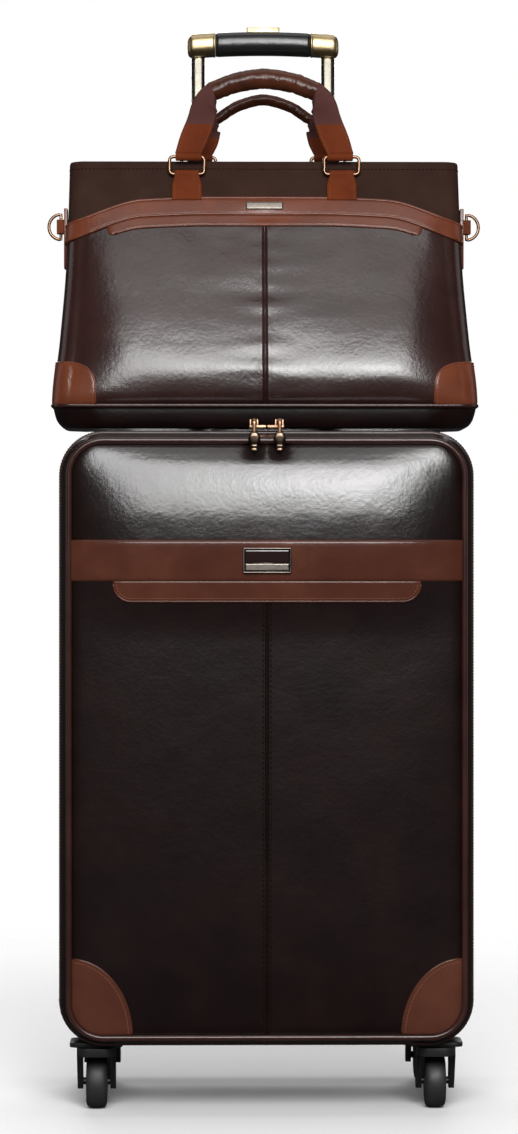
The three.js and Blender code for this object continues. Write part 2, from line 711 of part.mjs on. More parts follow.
// A handle: a rolled grip and two straps that fold round the upper bars of its rings.
function bagHandle({ x, hinge, gripHalf, gripRadius, top }, y) {
  const upperBar = hinge + RING.innerHeight + RING.wire;
  const gripEnd = top - 13;
  const grip = sweep(
    [vec(-gripHalf, y, gripEnd), vec(-gripHalf * 0.5, y, top - 3), vec(0, y, top), vec(gripHalf * 0.5, y, top - 3), vec(gripHalf, y, gripEnd)],
    gripRadius,
    0,
    10,
    true,
  );
  const straps = [-1, 1].flatMap((side) => [
    sweep(
      [
        vec(side * (x - 1), y, upperBar + 2),
        vec(side * mix(x, gripHalf, 0.45), y, mix(upperBar, gripEnd, 0.5)),
        vec(side * (gripHalf + 1), y, gripEnd - 4),
        vec(side * (gripHalf - 6), y, gripEnd + 1),
      ],
      STRAP_THICK,
      STRAP_WIDTH - 2,
      6,
    ),
    crossBar(circle(y, upperBar, LOOP_OUTER, 12), side * x - 12, side * x + 12),
  ]);
  const bores = [-1, 1].map((side) =>
    crossBar(circle(y, upperBar, LOOP_BORE, 12), side * x - 20, side * x + 20),
  );
  return cut(join(grip, ...straps), ...bores);
}
add("front_handle", bagHandle(FRONT_HANDLE, frontHingeY), tanLeather, bag);
add("rear_handle", bagHandle(REAR_HANDLE, rearHingeY), tanLeather, bag);
for (const [name, side] of SIDES) {
  add(`front_ring_${name}`, strapRing(side * FRONT_HANDLE.x, frontHingeY, FRONT_HANDLE.hinge), brass, bag);
  add(`rear_ring_${name}`, strapRing(side * REAR_HANDLE.x, rearHingeY, REAR_HANDLE.hinge), brass, bag);
}

// A leather tab on the bag's side, and the D-ring that it holds by its upright bar.
const sideY = 50;
function sideTab(side) {
  const wall = bagHalfWidth(D_RING.z) + GAP + 1.2;
  const plate = box([wall, sideY - 9, 142], [wall + 3, sideY + 9, 194]);
  const lug = box([wall, sideY - 6, D_RING.z - 6], [wall + 9.5, sideY + 6, D_RING.z + 6]);
  const bore = post(wall + 6, sideY, 2.2, D_RING.z - 10, D_RING.z + 10);
  return forSide(cut(join(plate, lug), bore), side);
}
function dRing(side) {
  const bar = bagHalfWidth(D_RING.z) + GAP + 1.2 + 6;
  const { z, height, reach, wire } = D_RING;
  const plate = (inset, front, back) => {
    const flat = bar - wire / 2 + inset;
    const [radiusX, radiusZ] = [bar + reach - inset - flat, height / 2 - inset];
    const arch = Array.from({ length: 11 }, (_, i) => {
      const angle = mix(-1, 1, i / 10) * (TAU / 4);
      return [flat + radiusX * Math.cos(angle), z + radiusZ * Math.sin(angle)];
    });
    return standingPlate(arch, front, back);
  };
  const [front, back] = [sideY - wire / 2, sideY + wire / 2];
  return forSide(cut(plate(0, front, back), plate(wire, front - 1, back + 1)), side);
}
for (const [name, side] of SIDES) {
  add(`bag_side_tab_${name}`, sideTab(side), tanLeather, bag);
  add(`d_ring_${name}`, dRing(side), brass, bag);
}

// The origin is below the middle of the whole object.
const bounds = new THREE.Box3().setFromObject(assembly);
assembly.position.y = -(bounds.min.y + bounds.max.y) / 2;

export default assembly;
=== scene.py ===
"""The looks of a rolling leather case and the briefcase that stands on it.

Everything is in metres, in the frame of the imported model: +Z is up and -Y is the front.
"""

import math

import bmesh
import bpy
import numpy as np
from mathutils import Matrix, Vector, noise


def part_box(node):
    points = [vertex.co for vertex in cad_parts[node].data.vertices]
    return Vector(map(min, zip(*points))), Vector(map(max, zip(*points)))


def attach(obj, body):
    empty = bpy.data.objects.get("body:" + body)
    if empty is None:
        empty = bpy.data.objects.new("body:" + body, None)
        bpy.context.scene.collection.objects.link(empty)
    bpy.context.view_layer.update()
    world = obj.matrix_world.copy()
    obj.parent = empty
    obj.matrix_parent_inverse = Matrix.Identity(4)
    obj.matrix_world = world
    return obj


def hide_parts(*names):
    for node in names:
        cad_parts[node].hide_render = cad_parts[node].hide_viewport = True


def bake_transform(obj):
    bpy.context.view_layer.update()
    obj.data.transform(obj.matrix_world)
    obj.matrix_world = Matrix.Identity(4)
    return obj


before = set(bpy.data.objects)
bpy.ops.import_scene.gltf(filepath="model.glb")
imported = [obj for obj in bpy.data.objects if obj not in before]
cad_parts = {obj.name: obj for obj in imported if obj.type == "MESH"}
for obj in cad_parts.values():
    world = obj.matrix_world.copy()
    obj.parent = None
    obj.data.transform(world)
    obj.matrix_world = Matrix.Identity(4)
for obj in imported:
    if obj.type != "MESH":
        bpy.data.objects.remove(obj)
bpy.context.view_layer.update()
MM = 0.001
SIDES = (("left", -1), ("right", 1))


# ---------------------------------------------------------------- camera, lights and floor
CAMERA_AT = (-0.047, -2.913, 0.458)
CAMERA_TARGET = (-0.0066, -0.113, 0.4542)
CAMERA_LENS = 107.8  # mm, on a sensor 36 mm tall
FLOOR_FADE = (0.5, 1.6)  # where the floor starts and ends to fade, in metres from its middle


def look_at(obj, target):
    direction = Vector(target) - obj.location
    obj.rotation_euler = direction.to_track_quat("-Z", "Y").to_euler()


def add_camera():
    data = bpy.data.cameras.new("camera")
    data.lens = CAMERA_LENS
    camera = bpy.data.objects.new("camera", data)
    camera.location = CAMERA_AT
    look_at(camera, CAMERA_TARGET)
    bpy.context.scene.collection.objects.link(camera)
    bpy.context.scene.camera = camera


def add_softbox(name, at, target, width, height, power):
    data = bpy.data.lights.new(name, "AREA")
    data.shape = "RECTANGLE"
    data.size = width
    data.size_y = height
    data.energy = power
    light = bpy.data.objects.new(name, data)
    light.location = at
    look_at(light, target)
    bpy.context.scene.collection.objects.link(light)


def add_world():
    """A white backdrop to the camera, and a dim grey room to everything else."""
    world = bpy.data.worlds.new("studio")
    world.use_nodes = True
    nodes, links = world.node_tree.nodes, world.node_tree.links
    room = nodes["Background"]
    room.inputs["Color"].default_value = (0.025, 0.025, 0.027, 1)
    backdrop = nodes.new("ShaderNodeBackground")
    backdrop.inputs["Color"].default_value = (1, 1, 1, 1)
    mix = nodes.new("ShaderNodeMixShader")
    links.new(nodes.new("ShaderNodeLightPath").outputs["Is Camera Ray"], mix.inputs[0])
    links.new(room.outputs[0], mix.inputs[1])
    links.new(backdrop.outputs[0], mix.inputs[2])
    links.new(mix.outputs[0], nodes["World Output"].inputs[0])
    bpy.context.scene.world = world


def set_inputs(node, **values):
    """Sets a node's sockets. An underscore stands for a space in a socket's name."""
    for key, value in values.items():
        node.inputs[key.replace("_", " ")].default_value = value


def add_floor():
    """A pale floor that fades into the backdrop, and that polished leather doesn't mirror."""
    bpy.ops.mesh.primitive_plane_add(size=5)
    floor = bpy.context.object
    floor.name = "floor"
    material = bpy.data.materials.new("floor")
    material.use_nodes = True
    nodes, links = material.node_tree.nodes, material.node_tree.links
    shader = nodes["Principled BSDF"]
    set_inputs(shader, Base_Color=(0.93, 0.93, 0.93, 1), Roughness=0.9, Specular_IOR_Level=0)
    where = nodes.new("ShaderNodeTexCoord")
    distance = nodes.new("ShaderNodeVectorMath")
    distance.operation = "LENGTH"
    fade = nodes.new("ShaderNodeMapRange")
    fade.interpolation_type = "SMOOTHSTEP"
    set_inputs(fade, From_Min=FLOOR_FADE[0], From_Max=FLOOR_FADE[1], To_Min=1, To_Max=0)
    links.new(where.outputs["Object"], distance.inputs[0])
    links.new(distance.outputs["Value"], fade.inputs["Value"])
    links.new(fade.outputs["Result"], shader.inputs["Alpha"])
    floor.data.materials.append(material)
    floor.visible_glossy = False


bpy.context.scene.view_settings.view_transform = "Standard"
add_camera()
add_world()
add_floor()
add_softbox("key", (0.05, -2.6, 1.62), (0.02, 0, 0.62), 1.75, 1.28, 85)
add_softbox("accent", (0.32, -2.55, 1.46), (0.05, 0, 0.62), 0.55, 0.42, 12)
add_softbox("upper", (0, -2.3, 2.85), (0, 0, 0.7), 2.2, 0.9, 12)
add_softbox("top", (0, 0.2, 2.4), (0, 0, 0.5), 2.0, 1.6, 14)
add_softbox("left", (-2.2, 0.3, 1.0), (0, 0, 0.5), 1.2, 1.8, 5)
add_softbox("right", (2.2, 0.3, 1.0), (0, 0, 0.5), 1.2, 1.8, 5)
add_softbox("back", (0, 2.4, 1.7), (0, 0, 0.5), 2.0, 1.2, 48)


# ---------------------------------------------------------------- materials
def new_material(name, color, roughness, metallic=0.0, coat=0.0, coat_roughness=0.2, specular=0.5):
    material = bpy.data.materials.new(name)
    material.use_nodes = True
    shader = material.node_tree.nodes["Principled BSDF"]
    set_inputs(shader, Base_Color=(*color, 1), Roughness=roughness, Metallic=metallic, Coat_Weight=coat)
    set_inputs(shader, Coat_Roughness=coat_roughness, Specular_IOR_Level=specular)
    return material, shader


def texture(material, kind, scale, **settings):
    """A texture node read in object space. Settings are its properties or its sockets."""
    nodes, links = material.node_tree.nodes, material.node_tree.links
    node = nodes.new(kind)
    node.inputs["Scale"].default_value = scale
    for key, value in settings.items():
        if hasattr(node, key):
            setattr(node, key, value)
        else:
            node.inputs[key.replace("_", " ").title()].default_value = value
    where = nodes.new("ShaderNodeTexCoord")
    links.new(where.outputs["Object"], node.inputs["Vector"])
    return node


def stretched(material, node, stretch):
    """Scales a texture's space differently along each axis."""
    nodes, links = material.node_tree.nodes, material.node_tree.links
    mapping = nodes.new("ShaderNodeMapping")
    mapping.inputs["Scale"].default_value = stretch
    source = node.inputs["Vector"].links[0].from_socket
    links.new(source, mapping.inputs["Vector"])
    links.new(mapping.outputs["Vector"], node.inputs["Vector"])


def remap(material, value, low, high):
    """Turns the middle of a texture's range, 0.3 to 0.7, into the range from low to high."""
    node = material.node_tree.nodes.new("ShaderNodeMapRange")
    set_inputs(node, From_Min=0.3, From_Max=0.7, To_Min=low, To_Max=high)
    material.node_tree.links.new(value, node.inputs["Value"])
    return node.outputs["Result"]


def blend_colors(material, factor, first, second):
    ramp = material.node_tree.nodes.new("ShaderNodeValToRGB")
    for element, position, color in zip(ramp.color_ramp.elements, (0.35, 0.68), (first, second)):
        element.position = position
        element.color = (*color, 1)
    material.node_tree.links.new(factor, ramp.inputs["Fac"])
    return ramp.outputs["Color"]


def add_bump(material, height, distance, strength=1.0):
    """Adds a bump on top of the ones that the shader has."""
    nodes, links = material.node_tree.nodes, material.node_tree.links
    shader = nodes["Principled BSDF"]
    bump = nodes.new("ShaderNodeBump")
    set_inputs(bump, Distance=distance, Strength=strength)
    links.new(height, bump.inputs["Height"])
    if shader.inputs["Normal"].links:
        links.new(shader.inputs["Normal"].links[0].from_socket, bump.inputs["Normal"])
    links.new(bump.outputs["Normal"], shader.inputs["Normal"])
    if shader.inputs["Coat Weight"].default_value > 0:
        links.new(bump.outputs["Normal"], shader.inputs["Coat Normal"])


def leather(name, light, dark, roughness, coat, grain=1.0, specular=0.04):
    """Polished hide: cloudy colour, fine pebbled grain, and soft hollows that break up a reflection."""
    material, shader = new_material(name, light, roughness, 0.0, coat, 0.2, specular)
    links = material.node_tree.links
    clouds = texture(material, "ShaderNodeTexNoise", 22, detail=6, roughness=0.6)
    links.new(blend_colors(material, clouds.outputs["Fac"], dark, light), shader.inputs["Base Color"])
    mottle = texture(material, "ShaderNodeTexNoise", 95, detail=5, roughness=0.65)
    links.new(
        remap(material, mottle.outputs["Fac"], roughness - 0.05, roughness + 0.07),
        shader.inputs["Roughness"],
    )
    hollows = texture(material, "ShaderNodeTexNoise", 55, detail=2, roughness=0.5)
    pebbles = texture(material, "ShaderNodeTexNoise", 330, detail=3, roughness=0.55)
    pores = texture(material, "ShaderNodeTexVoronoi", 1150, feature="F1")
    add_bump(material, hollows.outputs["Fac"], 0.7 * MM, 0.35 * grain)
    add_bump(material, pebbles.outputs["Fac"], 0.20 * MM, 0.6 * grain)
    add_bump(material, pores.outputs["Distance"], 0.03 * MM, 0.5 * grain)
    return material


def woven(name, light, dark, thread, sheen=0.25):
    """Plain-woven cloth, with threads of the given width."""
    material, shader = new_material(name, light, 0.85, specular=sheen)
    shader.inputs["Sheen Weight"].default_value = sheen
    links, nodes = material.node_tree.links, material.node_tree.nodes
    scale = math.pi / (10 * thread)
    warp = texture(material, "ShaderNodeTexWave", scale, bands_direction="X")
    weft = texture(material, "ShaderNodeTexWave", scale, bands_direction="Z")
    both = nodes.new("ShaderNodeMath")
    both.operation = "MULTIPLY"
    links.new(warp.outputs["Fac"], both.inputs[0])
    links.new(weft.outputs["Fac"], both.inputs[1])
    links.new(blend_colors(material, both.outputs[0], dark, light), shader.inputs["Base Color"])
    add_bump(material, both.outputs[0], 0.25 * MM, 0.6)
    return material


def metal(name, color, roughness, brush=None):
    """Metal with faint wear, brushed along an axis if a stretch is given."""
    material, shader = new_material(name, color, roughness, metallic=1.0)
    links = material.node_tree.links
    wear = texture(material, "ShaderNodeTexNoise", 160, detail=6, roughness=0.7)
    tarnish = tuple(0.72 * c for c in color)
    links.new(blend_colors(material, wear.outputs["Fac"], tarnish, color), shader.inputs["Base Color"])
    links.new(
        remap(material, wear.outputs["Fac"], roughness * 1.5, roughness * 0.8),
        shader.inputs["Roughness"],
    )
    if brush:
        lines = texture(material, "ShaderNodeTexNoise", 1400, detail=2)
        stretched(material, lines, brush)
        add_bump(material, lines.outputs["Fac"], 0.02 * MM, 0.25)
    return material


def moulded(name, color, roughness, grain):
    """Moulded plastic or rubber with a spark-eroded grain."""
    material, shader = new_material(name, color, roughness)
    links = material.node_tree.links
    patches = texture(material, "ShaderNodeTexNoise", 60, detail=4)
    links.new(
        remap(material, patches.outputs["Fac"], roughness - 0.06, roughness + 0.08),
        shader.inputs["Roughness"],
    )
    pits = texture(material, "ShaderNodeTexNoise", 1100, detail=3)
    add_bump(material, pits.outputs["Fac"], 0.08 * MM, grain)
    return material


DARK = leather("dark_leather", (0.0085, 0.0032, 0.0028), (0.0048, 0.0017, 0.0015), 0.45, 1.0)
# The bag's copy of the dark leather, painted about three times lighter: painted light for the up-leaning
# bag front. The bag's base below its seam keeps the dark leather.
LIT_BAG = leather("bag_leather_painted_lighter", (0.026, 0.0095, 0.0078), (0.016, 0.0055, 0.0045), 0.45, 1.0)
MATT = leather("matt_leather", (0.034, 0.017, 0.012), (0.025, 0.0115, 0.0085), 0.70, 0.0)
BINDING = leather("binding_leather", (0.034, 0.013, 0.010), (0.022, 0.008, 0.0065), 0.40, 0.7)
# The case's copy of the tan leather, painted darker than the bag's tan: painted shade on the case's
# upright band, trim and corner patches.
SHADED_BAND = leather("band_leather_painted_darker", (0.074, 0.023, 0.013), (0.050, 0.014, 0.008), 0.48, 0.5)
TAN = leather("tan_leather", (0.135, 0.036, 0.016), (0.088, 0.022, 0.010), 0.45, 0.5)
STRAP = leather("strap_leather", (0.135, 0.030, 0.010), (0.095, 0.020, 0.007), 0.60, 0.0, specular=0.02)
ROLLED = leather("rolled_leather", (0.080, 0.021, 0.009), (0.026, 0.008, 0.004), 0.45, 0.35, grain=1.3)
PLUM = leather("plum_leather", (0.085, 0.034, 0.030), (0.062, 0.024, 0.021), 0.65, 0.0)
GRIP = leather("grip_leather", (0.012, 0.012, 0.011), (0.007, 0.007, 0.007), 0.38, 0.7)
LINING = woven("lining_cloth", (0.21, 0.155, 0.105), (0.13, 0.095, 0.065), 0.5 * MM)
TAPE = woven("zip_tape", (0.030, 0.015, 0.012), (0.012, 0.006, 0.005), 0.45 * MM)
THREAD_DARK = woven("dark_thread", (0.013, 0.007, 0.006), (0.007, 0.004, 0.003), 0.25 * MM, 0.0)
THREAD_TAN = woven("tan_thread", (0.30, 0.11, 0.055), (0.20, 0.075, 0.04), 0.25 * MM, 0.05)
COPPER = metal("antique_brass", (0.27, 0.155, 0.095), 0.27)
GOLD = metal("gold_metal", (0.47, 0.365, 0.20), 0.33)
SMOKED = metal("smoked_brass", (0.10, 0.070, 0.050), 0.2)
TUBE = metal("tube_metal", (0.52, 0.485, 0.40), 0.15, brush=(1, 1, 0.02))
GUNMETAL = metal("gunmetal", (0.17, 0.15, 0.13), 0.3, brush=(0.02, 1, 1))
ENAMEL, _ = new_material("plate_enamel", (0.012, 0.004, 0.004), 0.15, coat=0.8, coat_roughness=0.05)
PLASTIC = moulded("black_plastic", (0.010, 0.010, 0.011), 0.38, 0.35)
RUBBER = moulded("wheel_rubber", (0.016, 0.016, 0.017), 0.5, 0.5)
HUB = moulded("wheel_hub", (0.045, 0.045, 0.048), 0.35, 0.2)
SLOTS = {
    "dark_leather": (DARK, LIT_BAG, MATT, BINDING, THREAD_DARK),
    "tan_leather": (SHADED_BAND, TAN, STRAP, ROLLED, PLUM, THREAD_TAN),
    "grip_leather": (GRIP,),
    "lined_board": (LINING,),
    "zip_tape": (TAPE,),
    "antique_brass": (COPPER, SMOKED, GUNMETAL, ENAMEL),
    "gold_metal": (GOLD,),
    "handle_tube": (TUBE,),
    "black_plastic": (PLASTIC,),
    "wheel_tyre": (RUBBER, HUB),
}


def slot_of(material):
    return next(slot for slot, materials in SLOTS.items() if material in materials)



# ---------------------------------------------------------------- mesh helpers
def piece(name, points, faces, material, body, replaces=(), slot=None):
    """A smooth mesh that rides on a body, or on none."""
    mesh = bpy.data.meshes.new(name)
    mesh.from_pydata([tuple(map(float, p)) for p in points], [], faces)
    mesh.validate()
    mesh.materials.append(material)
    mesh.shade_smooth()
    obj = bpy.data.objects.new(name, mesh)
    bpy.context.scene.collection.objects.link(obj)
    if body:
        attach(obj, body)
    slot = slot or slot_of(material)
    if replaces:
        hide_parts(*replaces)
    return obj


def grid_faces(columns, rows, start=0, around=False):
    """Quads of a grid stored row by row. Around joins each row's last point to its first."""
    faces = []
    for j in range(rows - 1):
        this, above = start + j * columns, start + (j + 1) * columns
        for i in range(columns if around else columns - 1):
            after = (i + 1) % columns
            faces.append((this + i, this + after, above + after, above + i))
    return faces


def loft(name, rings, material, body, replaces=(), caps=(True, True)):
    """A skin through closed rings with the same number of points."""
    count = len(rings[0])
    points = [p for ring in rings for p in ring]
    faces = grid_faces(count, len(rings), around=True)
    if caps[0]:
        faces.append(tuple(range(count))[::-1])
    if caps[1]:
        faces.append(tuple(len(points) - count + i for i in range(count)))
    return piece(name, points, faces, material, body, replaces)


def tube(name, path, radius, material, body, replaces=(), closed=False, sides=12):
    """A round cord along a path."""
    path = np.array(path, float)
    ahead = np.roll(path, -1, 0) - np.roll(path, 1, 0)
    if not closed:
        ahead[0], ahead[-1] = path[1] - path[0], path[-1] - path[-2]
    ahead /= np.linalg.norm(ahead, axis=1)[:, None]
    side = np.cross(ahead[0], (0.31, 0.95, 0.02))
    rings = []
    angles = np.linspace(0, 2 * math.pi, sides, endpoint=False)
    for at, forward in zip(path, ahead):
        side -= forward * side.dot(forward)
        side /= np.linalg.norm(side)
        up = np.cross(forward, side)
        rings.append([at + radius * (math.cos(a) * side + math.sin(a) * up) for a in angles])
    if closed:
        rings.append(rings[0])
    return loft(name, rings, material, body, replaces, caps=(not closed, not closed))


def spaced(path, step, closed=False):
    """Points at equal steps along a path, and the directions there."""
    path = np.array(path, float)
    if closed:
        path = np.vstack([path, path[:1]])
    lengths = np.linalg.norm(np.diff(path, axis=0), axis=1)
    total = np.concatenate([[0], np.cumsum(lengths)])
    count = max(2, round(total[-1] / step))
    marks = (np.arange(count) + 0.5) * total[-1] / count
    at = np.stack([np.interp(marks, total, path[:, k]) for k in range(3)], 1)
    later = np.stack([np.interp(marks + step / 10, total, path[:, k]) for k in range(3)], 1)
    earlier = np.stack([np.interp(marks - step / 10, total, path[:, k]) for k in range(3)], 1)
    ahead = later - earlier
    return at, ahead / np.linalg.norm(ahead, axis=1)[:, None]


# Stitches: their step, length and width in millimetres.
PLAIN_STITCH = (3.4, 2.5, 0.75)
SEAM_STITCH = (4.2, 3.1, 0.9)
TRIM_STITCH = (2.6, 1.9, 0.65)
PATCH_STITCH = (2.8, 2.0, 0.65)
BAG_STITCH = (2.6, 1.9, 0.6)
STRAP_STITCH = (2.4, 1.7, 0.6)
GRIP_STITCH = (2.4, 1.4, 0.9)


def stitches(name, path, out, material, body, size=PLAIN_STITCH, closed=False, slot=None):
    """A row of sewn stitches along a path. Out is the way that the seam faces."""
    step, length, width = (value * MM for value in size)
    at, ahead = spaced(path, step, closed)
    points, faces = [], []
    for where, forward in zip(at, ahead):
        across = np.cross(forward, out)
        across /= np.linalg.norm(across)
        up = np.cross(across, forward)
        start = len(points)
        points.append(where - forward * length / 2)
        for along, share in ((-0.3, 0.75), (0.0, 1.0), (0.3, 0.75)):
            for turn in range(6):
                angle = turn * math.pi / 3
                outward = math.cos(angle) * across + math.sin(angle) * up
                points.append(where + forward * along * length + share * width / 2 * outward)
        points.append(where + forward * length / 2)
        faces += grid_faces(6, 3, start + 1, around=True)
        faces += [(start, start + 1 + (i + 1) % 6, start + 1 + i) for i in range(6)]
        faces += [(start + 19, start + 13 + i, start + 13 + (i + 1) % 6) for i in range(6)]
    return piece(name, points, faces, material, body, slot=slot)


def edged(count, edge=0.02):
    """Values from 0 to 1 that crowd together at both ends, for a rounded edge."""
    ends = [0, edge * 0.25, edge * 0.6, edge]
    inner = list(np.linspace(edge, 1 - edge, count)[1:-1])
    return ends + inner + [1 - v for v in reversed(ends)]


def overlay(
    name, place, chart, thickness, material, body, replaces=(), columns=30, rows=8, edge=(0.02, 0.1),
):
    """A strip of leather laid on a surface, with rounded edges.

    Chart turns (u, v) from 0 to 1 into the surface's own coordinates, and place turns
    those and a height above the surface into a point.
    """
    us, vs = edged(columns, edge[0]), edged(rows, edge[1])

    def lift(value, margin):
        return min(1.0, min(value, 1 - value) / margin)

    points = []
    for v in vs:
        for u in us:
            rise = min(lift(u, edge[0]), lift(v, edge[1]))
            height = thickness * math.sqrt(max(0.0, 1 - (1 - rise) ** 2)) - 0.3 * MM
            points.append(place(*chart(u, v), height))
    return piece(name, points, grid_faces(len(us), len(vs)), material, body, replaces)


def ribbon(name, path, across, widths, thickness, material, body, replaces=()):
    """A flat strap with rounded edges along a path. Across is the direction of its width."""
    path = np.array(path, float)
    ahead = np.gradient(path, axis=0)
    side = np.array(across, float)
    side /= np.linalg.norm(side)
    shape = [(-1, 0), (-0.97, 0.75), (-0.88, 1), (0, 1.06), (0.88, 1), (0.97, 0.75)]
    shape += [(1, 0), (0.97, -0.75), (0.88, -1), (0, -1), (-0.88, -1), (-0.97, -0.75)]
    rings = []
    for i, (at, forward) in enumerate(zip(path, ahead)):
        up = np.cross(side, forward / np.linalg.norm(forward))
        width = widths[i] if np.ndim(widths) else widths
        rings.append([at + a * width / 2 * side + b * thickness / 2 * up for a, b in shape])
    return loft(name, rings, material, body, replaces)


def polished(node, material, body, bevel):
    """A copy of a CAD part with its edges broken, which stands for the part."""
    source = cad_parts[node]
    obj = bpy.data.objects.new(node + "_finished", source.data.copy())
    bpy.context.scene.collection.objects.link(obj)
    obj.data.materials.clear()
    obj.data.materials.append(material)
    bpy.context.view_layer.objects.active = obj
    weld = obj.modifiers.new("weld", "WELD")
    weld.merge_threshold = 0.01 * MM
    edges = obj.modifiers.new("bevel", "BEVEL")
    edges.width = bevel
    edges.segments = 3
    edges.limit_method = "ANGLE"
    edges.angle_limit = math.radians(35)
    for modifier in list(obj.modifiers):
        bpy.ops.object.modifier_apply(modifier=modifier.name)
    bpy.ops.object.select_all(action="DESELECT")
    obj.select_set(True)
    bpy.ops.object.shade_smooth_by_angle(angle=math.radians(40))
    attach(obj, body)
    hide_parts(node)


def smooth_curve(knots):
    """A smooth function through (position, value) knots, with no humps between them."""
    xs, ys = np.array(knots, float).T
    steps = np.diff(ys) / np.diff(xs)
    slopes = np.concatenate([steps[:1], np.zeros(len(xs) - 2), steps[-1:]])
    for k in range(1, len(xs) - 1):
        if steps[k - 1] * steps[k] > 0:
            slopes[k] = 2 * steps[k - 1] * steps[k] / (steps[k - 1] + steps[k])

    def value(x):
        i = int(np.clip(np.searchsorted(xs, x) - 1, 0, len(xs) - 2))
        span = xs[i + 1] - xs[i]
        t = np.clip((x - xs[i]) / span, 0, 1)
        before = (1 + 2 * t) * (1 - t) ** 2 * ys[i] + t * (1 - t) ** 2 * span * slopes[i]
        after = t * t * (3 - 2 * t) * ys[i + 1] + t * t * (t - 1) * span * slopes[i + 1]
        return float(before + after)

    return value


def smoothstep(low, high, x):
    t = min(1.0, max(0.0, (x - low) / (high - low)))
    return t * t * (3 - 2 * t)


def in_mm(knots):
    return smooth_curve([(a * MM, b * MM) for a, b in knots])


QUARTERS = ((1, 1), (-1, 1), (-1, -1), (1, -1))  # the corners in the order of the turning angle


def rounded_box(half_x, half_z, radius):
    """Points round a rectangle with rounded corners."""
    points = []
    for quarter, (sx, sz) in enumerate(QUARTERS):
        for i in range(7):
            angle = (quarter + i / 6) * math.pi / 2
            x = sx * (half_x - radius) + radius * math.cos(angle)
            points.append((x, sz * (half_z - radius) + radius * math.sin(angle)))
    return points


# ---------------------------------------------------------------- the case
shell_low, shell_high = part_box("case_shell")
lid_low, lid_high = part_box("lid_shell")
panel_low, panel_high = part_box("lid_front_panel")
band_low, band_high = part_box("lid_band")
trim_low, trim_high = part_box("lid_pocket_trim")
board_low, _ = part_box("back_board")
coil_low, coil_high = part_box("case_zip_coil")
CASE_HALF = shell_high.x
CASE_BOTTOM = shell_low.z
CASE_TOP = shell_high.z
CASE_MIDDLE = (CASE_BOTTOM + CASE_TOP) / 2
CASE_CORNER = 36 * MM


def case_ring(inset, y):
    """Points round the case's outline, less an inset, in the plane y."""
    corner_steps, straights = 14, (12, 18)
    half_x = CASE_HALF - inset
    half_z = (CASE_TOP - CASE_BOTTOM) / 2 - inset
    radius = max(CASE_CORNER - inset, 2 * MM)
    points = []
    for quarter, (sx, sz) in enumerate(QUARTERS):
        cx, cz = sx * (half_x - radius), sz * (half_z - radius)
        for i in range(corner_steps + 1):
            angle = (quarter + i / corner_steps) * math.pi / 2
            points.append((cx + radius * math.cos(angle), cz + radius * math.sin(angle)))
        x, z = points[-1]
        nx, nz = QUARTERS[(quarter + 1) % 4]
        level = quarter % 2 == 0
        finish_x = nx * (half_x - radius) if level else x
        finish_z = z if level else nz * (half_z - radius)
        count = straights[quarter % 2]
        for i in range(1, count):
            t = i / count
            points.append((x + (finish_x - x) * t, z + (finish_z - z) * t))
    return [(x, y, CASE_MIDDLE + z) for x, z in points]


def profile_rings(y, profile):
    """Rings of the case's outline, from insets and distances behind y in millimetres."""
    return [case_ring(inset * MM, y + behind * MM) for inset, behind in profile]


case_front, case_back = shell_low.y, shell_high.y
body_rings = profile_rings(case_front, [(3.5, 1.5), (1.2, 0.2), (0.2, 1.2), (0, 4)])
body_rings += [case_ring(0, (case_front + case_back) / 2)]
body_rings += profile_rings(
    case_back, [(0, -8), (0.2, -6), (3.5, -5), (4.5, -1.5), (6, -0.2), (9, 0), (14, 0)],
)
case_body = loft("case_body", body_rings, DARK, "case", ("case_shell",), caps=(False, True))


def punch(obj, low, high):
    """Opens a rectangular hole through the level faces of a skin between two corners."""
    work = bmesh.new()
    work.from_mesh(obj.data)
    for axis in (0, 1):
        for corner in (low, high):
            normal = [0, 0, 0]
            normal[axis] = 1
            parts = work.verts[:] + work.edges[:] + work.faces[:]
            bmesh.ops.bisect_plane(work, geom=parts, plane_co=corner, plane_no=normal)
    doomed = [
        face
        for face in work.faces
        if all(low[k] < face.calc_center_median()[k] < high[k] for k in range(3))
    ]
    bmesh.ops.delete(work, geom=doomed, context="FACES")
    work.to_mesh(obj.data)
    work.free()


for name, _ in SIDES:
    tube_low, tube_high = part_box(f"outer_tube_{name}")
    margin = Vector((0.3, 0.3, 0)) * MM
    punch(
        case_body, Vector((*(tube_low - margin).xy, CASE_TOP - 2 * MM)),
        Vector((*(tube_high + margin).xy, CASE_TOP + 2 * MM)),
    )

lining_rings = profile_rings(case_front, [(1.5, 0.6), (3.4, 1.2), (4, 4)])
lining_rings += profile_rings(board_low.y, [(4, -4), (5, -1.2), (8, 0)])
loft("case_lining", lining_rings, LINING, "case", ("back_board",), caps=(False, True))
tube(
    "case_back_welt", case_ring(1.4 * MM, case_back - 2.9 * MM), 2.5 * MM, BINDING, "case",
    ("case_back_piping",), closed=True,
)
tube("case_zip_binding", case_ring(0, case_front + 4.6 * MM), 1.4 * MM, BINDING, "case", closed=True)
for end, y in (("front", case_front + 9 * MM), ("back", case_back - 9 * MM)):
    stitches(
        f"case_side_stitching_{end}", case_ring(-0.1 * MM, y), (0, 1, 0.01), THREAD_DARK, "case",
        closed=True,
    )


